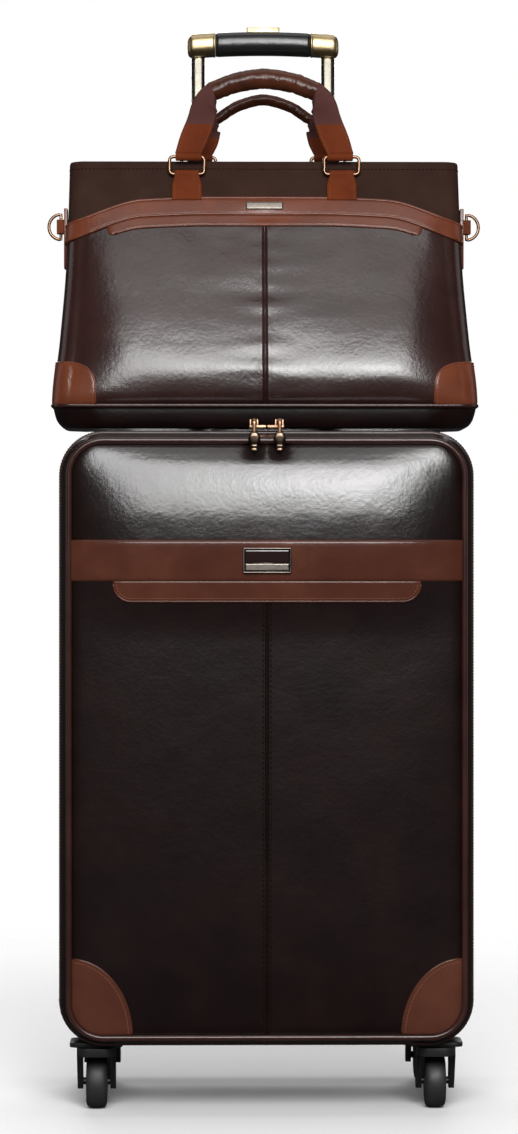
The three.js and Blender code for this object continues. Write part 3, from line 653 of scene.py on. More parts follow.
# The lid: its sides, the lining inside it, and the front between the welts.
lid_front, lid_back = lid_low.y, lid_high.y
side_rings = profile_rings(lid_back, [(1.5, -0.3), (0.2, -1.2), (0.3, -4), (1.6, -9), (4.6, -14.5)])
side_rings += profile_rings(lid_front, [(6.5, -1), (9, -1.5)])
loft("lid_sides", side_rings, DARK, "lid", ("lid_shell",), caps=(False, False))
lining_rings = profile_rings(lid_back, [(1.5, -0.3), (3.5, -0.8), (7, -6)])
lining_rings += profile_rings(lid_front, [(10.5, 4.2), (14, 3.2)])
loft("lid_lining", lining_rings, LINING, "lid", caps=(False, True))
WELT_Y = panel_high.y - 1.5 * MM
tube(
    "lid_front_welt", case_ring(7.4 * MM, WELT_Y), 2.7 * MM, BINDING, "lid", ("lid_piping",),
    closed=True,
)
tube("lid_zip_binding", case_ring(0.5 * MM, lid_back - 3.4 * MM), 1.4 * MM, BINDING, "lid", closed=True)


def hinge_gusset():
    """A cloth strip inside the left edge, which joins the case's lining to the lid's."""
    seam = (case_front + lid_back) / 2
    inset = in_mm([(-7, 8.4), (-1, 5.8), (1, 5.0), (9, 4.7)])
    marks = np.linspace(9 * MM, -7 * MM, 40)
    path = [(inset(mark) - CASE_HALF, seam + mark, CASE_MIDDLE) for mark in marks]
    height = CASE_TOP - CASE_BOTTOM - 2 * CASE_CORNER
    strip = ribbon("hinge_gusset", path, (0, 0, 1), height, 0.8 * MM, LINING, None)
    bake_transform(strip)


FRONT_INSET = 9.5 * MM
FRONT_HALF_X = CASE_HALF - FRONT_INSET
FRONT_HALF_Z = (CASE_TOP - CASE_BOTTOM) / 2 - FRONT_INSET
FRONT_CORNER = CASE_CORNER - FRONT_INSET
pull_low, pull_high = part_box("zip_pull_right")
PULL_X = (pull_low.x + pull_high.x) / 2
PULL_FOOT = pull_low.z
EDGE_ROLL = 2.6 * MM  # how far the leather rolls out of the welt

hinge_gusset()

# How much further the padding swells, by the distance from the front's top or from its foot.
UPPER_PADDING = in_mm(
    [
        (0, 0), (5, 1.2), (10, 3.0), (15, 4.9), (20, 6.4), (28, 8.2), (38, 10), (50, 11.6), (62, 12.7),
        (80, 13.4),
    ]
)
LOWER_PADDING = in_mm([(0, 0), (12, 1.2), (30, 2.6), (60, 4), (110, 4.8), (200, 5)])


def front_margin(x, z):
    """How far a point of the lid's front is from its welted edge."""
    qx = abs(x) - (FRONT_HALF_X - FRONT_CORNER)
    qz = abs(z - CASE_MIDDLE) - (FRONT_HALF_Z - FRONT_CORNER)
    outside = math.hypot(max(qx, 0), max(qz, 0)) + min(max(qx, qz), 0)
    return FRONT_CORNER - outside


def front_swell(x, z):
    """How far the padded front stands out of the plane of its welt."""
    margin = max(0.0, front_margin(x, z))
    edge = EDGE_ROLL * math.sqrt(1 - (1 - min(margin / (10 * MM), 1)) ** 2)
    across = 1 - abs(x / FRONT_HALF_X) ** 4
    above = smoothstep(band_low.z - 50 * MM, band_high.z, z)
    upper = UPPER_PADDING(CASE_MIDDLE + FRONT_HALF_Z - z)
    lower = LOWER_PADDING(z - CASE_MIDDLE + FRONT_HALF_Z)
    hollow = noise.noise(Vector((x * 9, z * 9, 3.1))) * 0.5 + noise.noise(
        Vector((x * 24, z * 24, 7.7))
    ) * 0.2
    soft = hollow * MM * min(1, margin / (25 * MM))
    dent = 3.2 * MM * smoothstep(PULL_FOOT - 8 * MM, PULL_FOOT + 4 * MM, z)
    soft -= dent * math.exp(-(((abs(x) - PULL_X) / (8 * MM)) ** 2))
    return edge + across * (above * upper + (1 - above) * lower) + soft


def seam_dip(x, half_width, depth):
    return depth * math.exp(-((x / half_width) ** 2))


def on_front(x, z, out=0.0):
    return (x, panel_high.y - 0.5 * MM - front_swell(x, z) - out, z)


def panel_row(z):
    """The half width of the front at a height, where its corners round off."""
    rise = abs(z - CASE_MIDDLE) - (FRONT_HALF_Z - FRONT_CORNER)
    if rise <= 0:
        return FRONT_HALF_X
    return FRONT_HALF_X - FRONT_CORNER + math.sqrt(max(0.0, FRONT_CORNER**2 - rise**2))


def spread(low, high, count, crowd=()):
    """Even values from low to high, with extra ones crowded round some places."""
    values = set(np.linspace(low, high, count))
    for centre, reach in crowd:
        values |= {centre + reach * k / 4 for k in range(-4, 5) if low < centre + reach * k / 4 < high}
    values = sorted(values)
    return [low] + [after for before, after in zip(values, values[1:]) if after - before > 0.001 * MM]


def front_panel():
    low, high = CASE_MIDDLE - FRONT_HALF_Z, CASE_MIDDLE + FRONT_HALF_Z
    near_edges = [(low, 8 * MM), (high, 8 * MM), (low + 14 * MM, 8 * MM), (high - 14 * MM, 8 * MM)]
    rows = spread(low + 0.01 * MM, high - 0.01 * MM, 110, near_edges)
    shares = spread(-1, 1, 71, [(0, 0.014), (-1, 0.04), (1, 0.04)])
    seam_top = trim_low.z + 6 * MM
    points = []
    for z in rows:
        for share in shares:
            x = share * panel_row(z)
            dip = seam_dip(x, 0.9 * MM, 1.3 * MM) * (1 - smoothstep(seam_top - 4 * MM, seam_top, z))
            points.append(on_front(x, z, -dip))
    return piece(
        "lid_front_leather", points, grid_faces(len(shares), len(rows)), DARK, "lid",
        ("lid_front_panel",),
    )


front_panel()
SEAM_FOOT = CASE_MIDDLE - FRONT_HALF_Z + 4 * MM
for name, side in SIDES:
    stitches(
        f"lid_seam_stitching_{name}",
        [on_front(side * 3.2 * MM, z, 0.15 * MM) for z in np.linspace(trim_low.z, SEAM_FOOT, 90)],
        (0, -1, 0), THREAD_DARK, "lid", SEAM_STITCH,
    )


def band_chart(u, v):
    return (2 * u - 1) * (FRONT_HALF_X + 1.5 * MM), band_low.z + v * (band_high.z - band_low.z)


# The case's tan band, trim and corner patches use the darker copy of the tan leather, which is painted
# shade.
overlay(
    "lid_band_leather", on_front, band_chart, 2.6 * MM, SHADED_BAND, "lid", ("lid_band",), columns=60, rows=10,
    edge=(0.004, 0.09),
)


def trim_chart(u, v):
    """The pocket's trim: level above, with its lower corners rounded off."""
    half = trim_high.x
    height = trim_high.z - trim_low.z
    z = trim_low.z + v * (height + 1.5 * MM)
    round_off = 15 * MM
    rise = max(0.0, (round_off - (z - trim_low.z)) / round_off)
    reach = half - round_off * (1 - math.sqrt(1 - rise**2))
    return (2 * u - 1) * reach, z


overlay(
    "lid_trim_leather", on_front, trim_chart, 1.8 * MM, SHADED_BAND, "lid", ("lid_pocket_trim",), columns=50,
    rows=9, edge=(0.008, 0.12),
)


def trim_edge(inset, lift):
    """Round the trim's lower edge from end to end, a little inside it."""
    half, low, high = trim_high.x - inset, trim_low.z + inset, trim_high.z
    radius = 15 * MM - inset
    left = [
        (-half + radius * (1 - math.cos(a)), low + radius * (1 - math.sin(a)))
        for a in np.linspace(0, math.pi / 2, 12)
    ]
    right = [(-x, z) for x, z in reversed(left)]
    middle = [(x, low) for x in np.linspace(-half + radius, half - radius, 60)[1:-1]]
    return [on_front(x, min(z, high), lift) for x, z in left + middle + right]


tube("lid_trim_piping", trim_edge(0.6 * MM, 0.7 * MM), 1.0 * MM, SHADED_BAND, "lid", sides=8)
stitches(
    "lid_trim_stitching", trim_edge(3.0 * MM, 1.5 * MM), (0, -1, 0), THREAD_TAN, "lid", TRIM_STITCH,
)


def patch_chart(name, side):
    """The quarter-round patch over one of the lid's lower corners."""
    low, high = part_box(f"lid_corner_{name}")
    reach = high.x - low.x
    rise = high.z - low.z
    corner_x, corner_z = FRONT_HALF_X, CASE_MIDDLE - FRONT_HALF_Z

    def chart(u, v):
        z = corner_z + v * rise
        outer = panel_row(max(z, corner_z + 0.05 * MM)) + 0.5 * MM
        inner = corner_x - reach * math.sqrt(max(0.0, 1 - v * v))
        inner = min(inner, outer - 0.5 * MM)
        return side * (inner + u * (outer - inner)), z

    return chart


def patch_edge(name, side, inset, lift):
    low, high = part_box(f"lid_corner_{name}")
    reach, rise = high.x - low.x - inset, high.z - low.z - inset
    corner_x, corner_z = FRONT_HALF_X, CASE_MIDDLE - FRONT_HALF_Z
    path = []
    for angle in np.linspace(0.03, math.pi / 2 - 0.05, 40):
        path.append(
            on_front(
                side * (corner_x - reach * math.cos(angle)), corner_z + rise * math.sin(angle), lift,
            )
        )
    return path


for name, side in SIDES:
    overlay(
        f"lid_corner_leather_{name}", on_front, patch_chart(name, side), 1.9 * MM, SHADED_BAND, "lid",
        (f"lid_corner_{name}",), columns=24, rows=26, edge=(0.05, 0.03),
    )
    tube(
        f"lid_corner_piping_{name}", patch_edge(name, side, 0.5 * MM, 0.8 * MM), 1.0 * MM, SHADED_BAND, "lid",
        sides=8,
    )
    stitches(
        f"lid_corner_stitching_{name}", patch_edge(name, side, 3.2 * MM, 1.7 * MM), (0, -1, 0),
        THREAD_TAN, "lid", PATCH_STITCH,
    )


# ---------------------------------------------------------------- zip, plate and hard parts of the case
TOOTH_PITCH = 2.6 * MM


def tooth_faces(start):
    """The faces of a tooth with four points on each side."""
    faces = [
        (start + a, start + b, start + b + 4, start + a + 4)
        for a, b in ((0, 1), (1, 2), (2, 3), (3, 0))
    ]
    return faces + [
        (start + 3, start + 2, start + 1, start), (start + 4, start + 5, start + 6, start + 7),
    ]


def zip_teeth(ring, inset):
    """Two rows of small teeth that mesh along a ring."""
    at, ahead = spaced(ring, TOOTH_PITCH, closed=True)
    points, faces = [], []
    centre = np.array((0, at[0][1], CASE_MIDDLE))
    for i, (where, forward) in enumerate(zip(at, ahead)):
        out = np.cross((0, 1, 0), forward)
        if out.dot(where - centre) < 0:
            out = -out
        y = np.array((0, 1, 0)) * (1 if i % 2 else -1)
        start = len(points)
        base = where + out * inset
        for along in (-0.5, 0.5):
            for reach, rise in ((-0.4, 0), (-0.3, 0.9), (1.0, 0.9), (1.2, 0)):
                points.append(
                    base
                    + forward
                    * along
                    * TOOTH_PITCH
                    * 0.62
                    + y
                    * reach
                    * MM
                    + out
                    * rise
                    * MM
                )
        faces += tooth_faces(start)
    piece("zip_teeth", points, faces, TAPE, "case", ("case_zip_coil",)).data.shade_flat()


zip_middle = (coil_low.y + coil_high.y) / 2
zip_teeth(case_ring(0, zip_middle - 1.2 * MM), 0.6 * MM)
tape_rings = profile_rings(case_front, [(-0.5, 4)]) + profile_rings(zip_middle, [(-0.7, 0)])
tape_rings += profile_rings(case_front, [(-0.5, 0.4), (1, 0.1)])
loft("zip_tape_band", tape_rings, TAPE, "case", caps=(False, False))

for name, side in SIDES:
    polished(f"zip_slider_{name}", COPPER, f"zip_slider_{name}", 0.5 * MM)


def zip_pull(name):
    """A pull that hangs from its slider's pin: a flat bail that bends down, and a drop on its end."""
    low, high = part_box(f"zip_pull_{name}")
    x = (low.x + high.x) / 2
    front = low.y + 1.1 * MM
    bail_z = high.z - 1.2 * MM
    bend = 3 * MM
    path = [(x, y, bail_z) for y in np.linspace(high.y - 1 * MM, front + bend, 8)]
    for angle in np.linspace(0, math.pi / 2, 8)[1:]:
        path.append((x, front + bend - bend * math.sin(angle), bail_z - bend + bend * math.cos(angle)))
    path += [(x, front, z) for z in np.linspace(bail_z - bend, low.z + 16 * MM, 5)[1:]]
    ribbon(f"zip_bail_{name}", path, (1, 0, 0), 3.4 * MM, 1.5 * MM, COPPER, f"zip_pull_{name}")
    outline = [
        (0, 0.3), (0.6, 2.0), (2.0, 3.3), (3.6, 3.5), (4.3, 2.9), (4.7, 2.5), (5.1, 3.0), (5.9, 3.8),
    ]
    outline += [
        (6.9, 3.5), (7.4, 3.0), (8.6, 3.9), (11, 5.0), (14, 5.1), (16.4, 4.0), (17.8, 2.2), (18.3, 0.5),
    ]
    rings = []
    for rise, half in outline:
        deep = (0.35 + 0.95 * min(1, half / 4.2)) * MM
        section = round_section(half * MM, deep, 2.3, 24)
        rings.append([(x + a, front + b, low.z + rise * MM) for a, b in section])
    loft(f"zip_drop_{name}", rings, SMOKED, f"zip_pull_{name}", (f"zip_pull_{name}",))


def round_section(half_width, half_depth, power, steps=28):
    """Points of a rounded rectangle whose sides bow a little."""
    points = []
    for i in range(steps):
        angle = 2 * math.pi * i / steps
        c, s = math.cos(angle), math.sin(angle)
        x = half_width * math.copysign(abs(c) ** (2 / power), c)
        points.append((x, half_depth * math.copysign(abs(s) ** (2 / power), s)))
    return points


for name, _ in SIDES:
    zip_pull(name)


def plate(name, centre, half_width, half_height, corner, depth, material, body, place, rim=0.0):
    """A small plate with rounded corners and edges, laid on a surface."""
    rings = []
    steps = (
        (0, -0.4 * MM), (0, 0.6 * depth), (0.3 * MM, depth), (1.2 * MM, depth), (1.5 * MM, depth - rim),
    )
    for inset, rise in steps:
        outline = rounded_box(half_width - inset, half_height - inset, max(corner - inset, 0.3 * MM))
        rings.append([place(centre[0] + x, centre[1] + z, rise) for x, z in outline])
    return loft(name, rings, material, body, caps=(False, True))


band_middle = (band_low.z + band_high.z) / 2
plate_y = on_front(0, band_middle)[1] - 2.2 * MM


def on_plate(x, z, out):
    return (x, plate_y - out, z)


plate(
    "lid_plate_frame", (0, band_middle), 20 * MM, 10.6 * MM, 1.6 * MM, 1.8 * MM, GUNMETAL, "lid",
    on_plate, rim=1.0 * MM,
)
plate(
    "lid_plate_enamel", (0, band_middle + 3.3 * MM), 18.2 * MM, 5.4 * MM, 0.8 * MM, 1.1 * MM, ENAMEL,
    "lid", on_plate,
)
plate(
    "lid_plate_strip", (0, band_middle - 5.6 * MM), 18.2 * MM, 3.2 * MM, 0.8 * MM, 1.4 * MM, GUNMETAL,
    "lid", on_plate,
)

for name in ("tube_foot", "tube_bezel"):
    polished(name, PLASTIC, "case", 0.8 * MM)
CASTERS = [f"{end}_{name}" for end in ("front", "rear") for name, _ in SIDES]
for caster in CASTERS:
    polished(f"caster_base_{caster}", PLASTIC, "case", 0.6 * MM)
    polished(f"caster_fork_{caster}", PLASTIC, f"caster_fork_{caster}", 1.0 * MM)


def lathe(name, profile, centre, material, body, replaces=(), steps=48):
    """A round part about an axle along X, from (x, radius) points."""
    rings = []
    for x, radius in profile:
        ring = []
        for i in range(steps):
            angle = 2 * math.pi * i / steps
            ring.append(centre + Vector((x, radius * math.cos(angle), radius * math.sin(angle))))
        rings.append(ring)
    return loft(name, rings, material, body, replaces, caps=(True, True))


for caster in CASTERS:
    low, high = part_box(f"caster_wheel_{caster}")
    centre = (low + high) / 2
    half = (high.x - low.x) / 2
    radius = (high.z - low.z) / 2
    tread = [(-half, radius - 8 * MM), (-half, radius - 4 * MM)]
    for angle in np.linspace(-1, 1, 13):
        tread.append(
            (
                half * math.sin(angle * math.pi / 2) * 0.995,
                radius - 4 * MM + 4 * MM * math.cos(angle * math.pi / 2) ** 0.7,
            )
        )
    tread += [(half, radius - 4 * MM), (half, radius - 8 * MM)]
    lathe(
        f"wheel_tyre_{caster}", tread, centre, RUBBER, f"caster_wheel_{caster}",
        (f"caster_wheel_{caster}",),
    )
    hub = [
        (-half - 0.6 * MM, 4.5 * MM), (-half - 0.6 * MM, 6 * MM), (-half + 1.2 * MM, 8 * MM),
        (-half + 1.2 * MM, radius - 9 * MM), (-half - 0.2 * MM, radius - 8 * MM),
    ]
    hub += [(-x, r) for x, r in reversed(hub)]
    lathe(f"wheel_hub_{caster}", hub, centre, HUB, f"caster_wheel_{caster}")


# ---------------------------------------------------------------- the pull handle
def upright_tube(node, body, top):
    low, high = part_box(node)
    high.z = max(high.z, top)
    centre = (low + high) / 2
    section = round_section((high.x - low.x) / 2, (high.y - low.y) / 2, 2.7, 40)
    rings = []
    for z, shrink in ((low.z, 0.9), (low.z + 0.6 * MM, 1), (high.z - 0.6 * MM, 1), (high.z, 0.9)):
        rings.append([(centre.x + shrink * x, centre.y + shrink * y, z) for x, y in section])
    return loft(f"{node}_metal", rings, TUBE, body, (node,))


for name, _ in SIDES:
    upright_tube(f"lower_tube_{name}", "handle_lower", 0)
    upright_tube(f"upper_tube_{name}", "handle_upper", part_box("grip")[0].z + 7 * MM)
    polished(f"outer_tube_{name}", TUBE, "case", 0.3 * MM)

grip_low, grip_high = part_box("grip")
cap_low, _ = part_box("grip_cap_left")
_, cap_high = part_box("grip_cap_right")
GRIP_RISE = 3 * MM
GRIP_POWER = 2.6  # how square the grip's section is
grip_depth = (grip_high.y - grip_low.y) / 2
grip_height = (grip_high.z - grip_low.z - GRIP_RISE) / 2
grip_middle = Vector((0, (grip_low.y + grip_high.y) / 2, grip_low.z + grip_height))


def grip_lift(x):
    return GRIP_RISE * (1 - (x / cap_high.x) ** 2)


def grip_ring(x, shrink=0.0):
    """The grip's section at x. It rises towards the middle."""
    section = round_section(grip_depth - shrink, grip_height - shrink, GRIP_POWER, 36)
    return [(x, grip_middle.y + y, grip_middle.z + grip_lift(x) + z) for y, z in section]


loft(
    "grip_leather_wrap",
    [
        grip_ring(x, 0.5 * MM if abs(x) > grip_high.x - 0.3 * MM else 0)
        for x in np.linspace(grip_low.x, grip_high.x, 31)
    ],
    GRIP, "handle_upper", ("grip",),
)
for name, side in SIDES:
    cap_rings = [grip_ring(side * (grip_high.x + 0.1 * MM), 0.8 * MM)]
    cap_rings += [grip_ring(side * (grip_high.x + 0.5 * MM), -0.3 * MM)]
    cap_rings += [
        grip_ring(side * (grip_high.x + 1.4 * MM), -0.3 * MM),
        grip_ring(side * (grip_high.x + 1.8 * MM), 0.1 * MM),
    ]
    cap_rings += [
        grip_ring(side * x, 0.1 * MM)
        for x in np.linspace(grip_high.x + 3 * MM, cap_high.x - 6 * MM, 6)
    ]
    for turn in np.linspace(0.15, 1, 7):
        angle = turn * math.pi / 2
        cap_rings.append(
            grip_ring(
                side * (cap_high.x - 6 * MM + 6 * MM * math.sin(angle)), 6 * MM * (1 - math.cos(angle)),
            )
        )
    loft(f"grip_cap_metal_{name}", cap_rings, GOLD, "handle_upper", (f"grip_cap_{name}",))


def grip_seam(angle):
    """A line along the grip's leather, at an angle round its section."""
    path = []
    for x in np.linspace(grip_low.x + 2 * MM, grip_high.x - 2 * MM, 40):
        c, s = math.cos(angle), math.sin(angle)
        y = grip_depth * math.copysign(abs(c) ** (2 / GRIP_POWER), c)
        z = grip_height * math.copysign(abs(s) ** (2 / GRIP_POWER), s)
        path.append((x, grip_middle.y + y, grip_middle.z + grip_lift(x) + z))
    return path


stitches(
    "grip_stitching", grip_seam(math.radians(180 + 38)), (0, -1, -0.6), GRIP, "handle_upper",
    GRIP_STITCH,
)
polished("release_button", GOLD, "release_button", 0.8 * MM)

# ---------------------------------------------------------------- the briefcase
bag_low, bag_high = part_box("bag_shell")
BAG_BASE = bag_low.z
BAG_BACK = bag_high.y
BAG_TOP = bag_high.z - bag_low.z
BAG_SEAM = 20 * MM  # the piped seam between the base and the front
BAG_CORNER = 14 * MM
BAND_TOP = 201 * MM
BAND_HEIGHT = 16 * MM
RIM_SEAM = 227 * MM


bag_half = in_mm(
    [(0, 170), (3, 175), (8, 178.5), (20, 181), (77, 176), (137, 171.5), (177, 170), (234, 169)]
)
bag_wall = in_mm(
    [(0, -8), (3, -11), (8, -14), (14, -16.6), (19, -18), (20, -18), (77, -4.2), (234, 34)]
)
bag_puff = in_mm(
    [(0, 0), (19, 0.4), (20, 3.5), (23, 7), (27, 8.8), (31, 9.9), (37, 11.5), (42, 12.9), (48, 14.4)]
    + [
        (55, 15.8), (63, 16.7), (72, 17.1), (82, 16.8), (96, 15.8), (115, 13.7), (137, 11.7),
        (165, 8.8), (201, 5), (216, 1.5), (234, 0),
    ]
)
bag_rear = in_mm([(0, 70), (3, 73), (8, 75.5), (20, 77.5), (60, 78), (234, 78)])


def bag_outline(t, level):
    """The point of the bag's skin at a height above its base, t along from the middle of its front."""
    half, front, back = bag_half(level), bag_wall(level), bag_rear(level)
    flat, arc = half - BAG_CORNER, BAG_CORNER * math.pi / 2
    depth = back - front - 2 * BAG_CORNER
    along = abs(t) - flat
    turn = along / BAG_CORNER
    if along < 0:
        x, y = abs(t), front
    elif along < arc:
        x, y = flat + BAG_CORNER * math.sin(turn), front + BAG_CORNER * (1 - math.cos(turn))
    elif along < arc + depth:
        x, y = half, front + BAG_CORNER + along - arc
    elif along < 2 * arc + depth:
        turn -= (arc + depth) / BAG_CORNER
        x, y = flat + BAG_CORNER * math.cos(turn), back - BAG_CORNER + BAG_CORNER * math.sin(turn)
    else:
        x, y = flat - (along - 2 * arc - depth), back
    if along < 0:
        share = 1 - 0.75 * (abs(t) / flat) ** 6
    else:
        share = 0.25 * (1 - smoothstep(0, 45 * MM, along))
    if abs(t) < 12 * MM:
        sewn = smoothstep(BAG_SEAM, BAG_SEAM + 2 * MM, level) * (
            1
            - smoothstep(172 * MM, 178 * MM, level)
        )
        y += sewn * MM * (
            1.6
            * math.exp(-((t / (1.1 * MM)) ** 2))
            - 0.35
            * math.exp(-(((abs(t) - 3.4 * MM) / (2 * MM)) ** 2))
        )
    soft = smoothstep(BAG_SEAM, 45 * MM, level) * (1 - smoothstep(215 * MM, BAG_TOP, level))
    hollow = noise.noise(Vector((t * 8, level * 11, 1.7))) + 0.4 * noise.noise(
        Vector((t * 21, level * 26, 5.2))
    )
    gather = noise.noise(Vector((t * 16, level * 90, 8))) * math.exp(-abs(t) / (24 * MM)) * 0.9
    gather += noise.noise(Vector((t * 60, level * 30, 2))) * math.exp(
        -abs(level - 172 * MM) / (14 * MM)
    ) * 0.5
    y -= bag_puff(level) * share + 1.1 * MM * (hollow + gather) * soft * (
        1
        if along < 0
        else 0.5
        * share
    )
    return np.array((math.copysign(x, t), y, BAG_BASE + level))


def on_bag(t, level, out=0.0):
    """A point above the bag's skin."""
    step = 0.8 * MM
    at = bag_outline(t, level)
    along = bag_outline(t + step, level) - bag_outline(t - step, level)
    up = bag_outline(t, level + step) - bag_outline(t, level - step)
    normal = np.cross(along, up)
    return at + out * normal / np.linalg.norm(normal)


def bag_stations(level, front=45, corner=8, side=8, back=20):
    """Places round half the bag, from the middle of the front to the middle of the back."""
    flat, arc = bag_half(level) - BAG_CORNER, BAG_CORNER * math.pi / 2
    depth = bag_rear(level) - bag_wall(level) - 2 * BAG_CORNER
    marks = [
        k * MM
        for k in (0.15, 0.6, 1.1, 1.7, 2.5, 3.5, 4.8, 6.5)
    ] + list(np.linspace(9 * MM, flat, front))
    marks += list(flat + np.linspace(0, arc, corner)[1:])
    marks += list(flat + arc + np.linspace(0, depth, side)[1:])
    marks += list(flat + arc + depth + np.linspace(0, arc, corner)[1:])
    marks += list(flat + 2 * arc + depth + np.linspace(0, flat - 0.6 * MM, back)[1:])
    return marks


def both_ways(marks, level, out=0.0):
    """Points along the bag's skin on the right, and back along it on the left."""
    return [on_bag(t, level, out) for t in marks] + [on_bag(-t, level, out) for t in reversed(marks)]


def bag_ring(level, out=0.0):
    return both_ways(bag_stations(level), level, out)


def bag_skin():
    levels = [0, 0.4, 1.2, 3, 5, 8, 12, 16, 18.6, 19.4, 20, 20.7, 21.6, 23, 25, 28, 32]
    levels += list(np.linspace(37, 215, 60)) + [220, 225, 229, 231.5]
    rings = [
        bag_ring(level * MM, -(1.2 if level == 0 else 0.4 if level == 0.4 else 0) * MM)
        for level in levels
    ]
    for inset, level in ((0.4, 233), (1.2, 233.8), (2.4, 234), (3.4, 233.4), (3.8, 232), (3.8, 228)):
        ring = np.array(bag_ring(231.5 * MM, -inset * MM))
        ring[:, 2] = BAG_BASE + level * MM
        rings.append(list(ring))
    # The skin's front takes the lighter copy of the dark leather, which is painted light; the base below
    # the seam keeps the dark leather.
    skin = loft("bag_skin", rings, LIT_BAG, "bag", ("bag_shell", "bag_front_pocket"), caps=(True, False))
    skin.data.materials.append(MATT)
    skin.data.materials.append(DARK)
    for face in skin.data.polygons:
        on_the_front = face.center.y < 45 * MM
        t = face.center.x if on_the_front else BAND_REACH
        middle = band_low(min(abs(t), BAND_REACH)) + BAND_HEIGHT / 2
        face.material_index = int(face.center.z > BAG_BASE + middle)
        if face.center.z < BAG_BASE + BAG_SEAM:
            face.material_index = 2
    return skin


def band_drop(t):
    gentle = 3 * smoothstep(50 * MM, 135 * MM, abs(t))
    return (gentle + 21 * smoothstep(104 * MM, 184 * MM, abs(t))) * MM


def band_low(t):
    return BAND_TOP - BAND_HEIGHT - band_drop(t)


BAND_REACH = bag_half(178 * MM) + 14 * MM
bag_skin()
tube("bag_seam_piping", bag_ring(BAG_SEAM, 0.3 * MM), 1.9 * MM, BINDING, "bag", closed=True)


def bag_band_chart(u, v):
    t = (2 * u - 1) * BAND_REACH
    return t, band_low(t) + v * BAND_HEIGHT


overlay(
    "bag_band_leather", on_bag, bag_band_chart, 2.2 * MM, TAN, "bag", ("bag_band",), columns=90, rows=8,
    edge=(0.006, 0.12),
)
for name, share in (("lower", 0.06), ("upper", 0.94)):
    tube(
        f"bag_band_roll_{name}",
        [
            on_bag(t, band_low(t) + share * BAND_HEIGHT, 1.3 * MM)
            for t in np.linspace(-0.997, 0.997, 150) * BAND_REACH
        ],
        1.3 * MM, TAN, "bag", sides=10,
    )

TRIM_REACH = 136 * MM
TRIM_DROP = 9.5 * MM


def bag_trim_chart(u, v):
    """The strip below the band. Its lower corners are cut off in a curve."""
    rise = max(0.0, 1 - v * 1.15)
    reach = TRIM_REACH - 7 * MM * (1 - math.sqrt(max(0.0, 1 - rise**2)))
    t = (2 * u - 1) * reach
    return t, band_low(t) - TRIM_DROP * (1 - v) + 1 * MM * v


overlay(
    "bag_trim_leather", on_bag, bag_trim_chart, 1.7 * MM, TAN, "bag", columns=60, rows=7,
    edge=(0.006, 0.16),
)
TRIM_LINE = np.linspace(-TRIM_REACH + 7 * MM, TRIM_REACH - 7 * MM, 80)
tube(
    "bag_trim_roll", [on_bag(t, band_low(t) - TRIM_DROP + 0.8 * MM, 0.8 * MM) for t in TRIM_LINE],
    0.9 * MM, TAN, "bag", sides=8,
)
stitches(
    "bag_trim_stitching", [on_bag(t, band_low(t) - TRIM_DROP + 3 * MM, 1.5 * MM) for t in TRIM_LINE],
    (0, -1, 0.2), THREAD_TAN, "bag", BAG_STITCH,
)

PATCH_TOP = 57 * MM
PATCH_START = 144 * MM


def bag_patch_chart(side):
    """The patch over a lower corner of the bag. Its inner top corner is rounded."""
    low, high = BAG_SEAM + 0.5 * MM, PATCH_TOP

    def chart(u, v):
        level = low + v * (high - low)
        outer = bag_half(level) + 12 * MM
        inner = PATCH_START + 28 * MM * (1 - (1 - v**5) ** 0.5)
        return side * (inner + u * (outer - inner)), level

    return chart


def bag_patch_edge(side, inset, out):
    low, high = BAG_SEAM + 0.5 * MM, PATCH_TOP - inset
    path = []
    for v in list(np.linspace(0.02, 0.8, 16)) + list(np.linspace(0.82, 1, 14)):
        level = low + v * (high - low)
        path.append(
            on_bag(side * (PATCH_START + inset + 28 * MM * (1 - (1 - v**5) ** 0.5)), level, out)
        )
    for t in np.linspace(PATCH_START + 28 * MM + inset, bag_half(high) + 11 * MM, 12)[1:]:
        path.append(on_bag(side * t, high, out))
    return path


for name, side in SIDES:
    overlay(
        f"bag_corner_leather_{name}", on_bag, bag_patch_chart(side), 1.6 * MM, TAN, "bag", columns=24,
        rows=20, edge=(0.04, 0.03),
    )
    tube(
        f"bag_corner_roll_{name}", bag_patch_edge(side, 0.4 * MM, 0.7 * MM), 0.9 * MM, TAN, "bag",
        sides=8,
    )
    stitches(
        f"bag_corner_stitching_{name}", bag_patch_edge(side, 2.8 * MM, 1.5 * MM), (0, -1, 0.2),
        THREAD_TAN, "bag", BAG_STITCH,
    )


def on_badge(x, z, out):
    return on_bag(x, band_low(0) + BAND_HEIGHT / 2 + z, 2.0 * MM + out)


plate("bag_badge", (0, 0), 16 * MM, 3.2 * MM, 1.0 * MM, 1.2 * MM, GUNMETAL, "bag", on_badge)

# The top: a leather panel with a zip along it, its slider, and the rim's stitching.
top_low, top_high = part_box("bag_top_panel")
zip_low, zip_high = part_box("bag_zip_slider")
zip_y = (zip_low.y + zip_high.y) / 2


def top_panel():
    ring = np.array(bag_ring(231.5 * MM, -4.2 * MM))
    centre = np.array((0, zip_y, 0))
    rings = []
    for share, rise in ((1, 0), (0.99, 0.8), (0.97, 1.2)):
        shrunk = centre + (ring - centre) * np.array((share, share, 1))
        shrunk[:, 2] = top_high.z - 1.4 * MM + rise * MM
        rings.append(list(shrunk))
    for share in (0.75, 0.45, 0.2, 0.11):
        shrunk = centre + (ring - centre) * np.array((1 - (1 - share) * 0.03, share, 1))
        shrunk[:, 2] = top_high.z - (0.2 if share > 0.11 else 1.2) * MM
        rings.append(list(shrunk))
    loft("bag_top_leather", rings, MATT, "bag", ("bag_top_panel",), caps=(False, True))


top_panel()


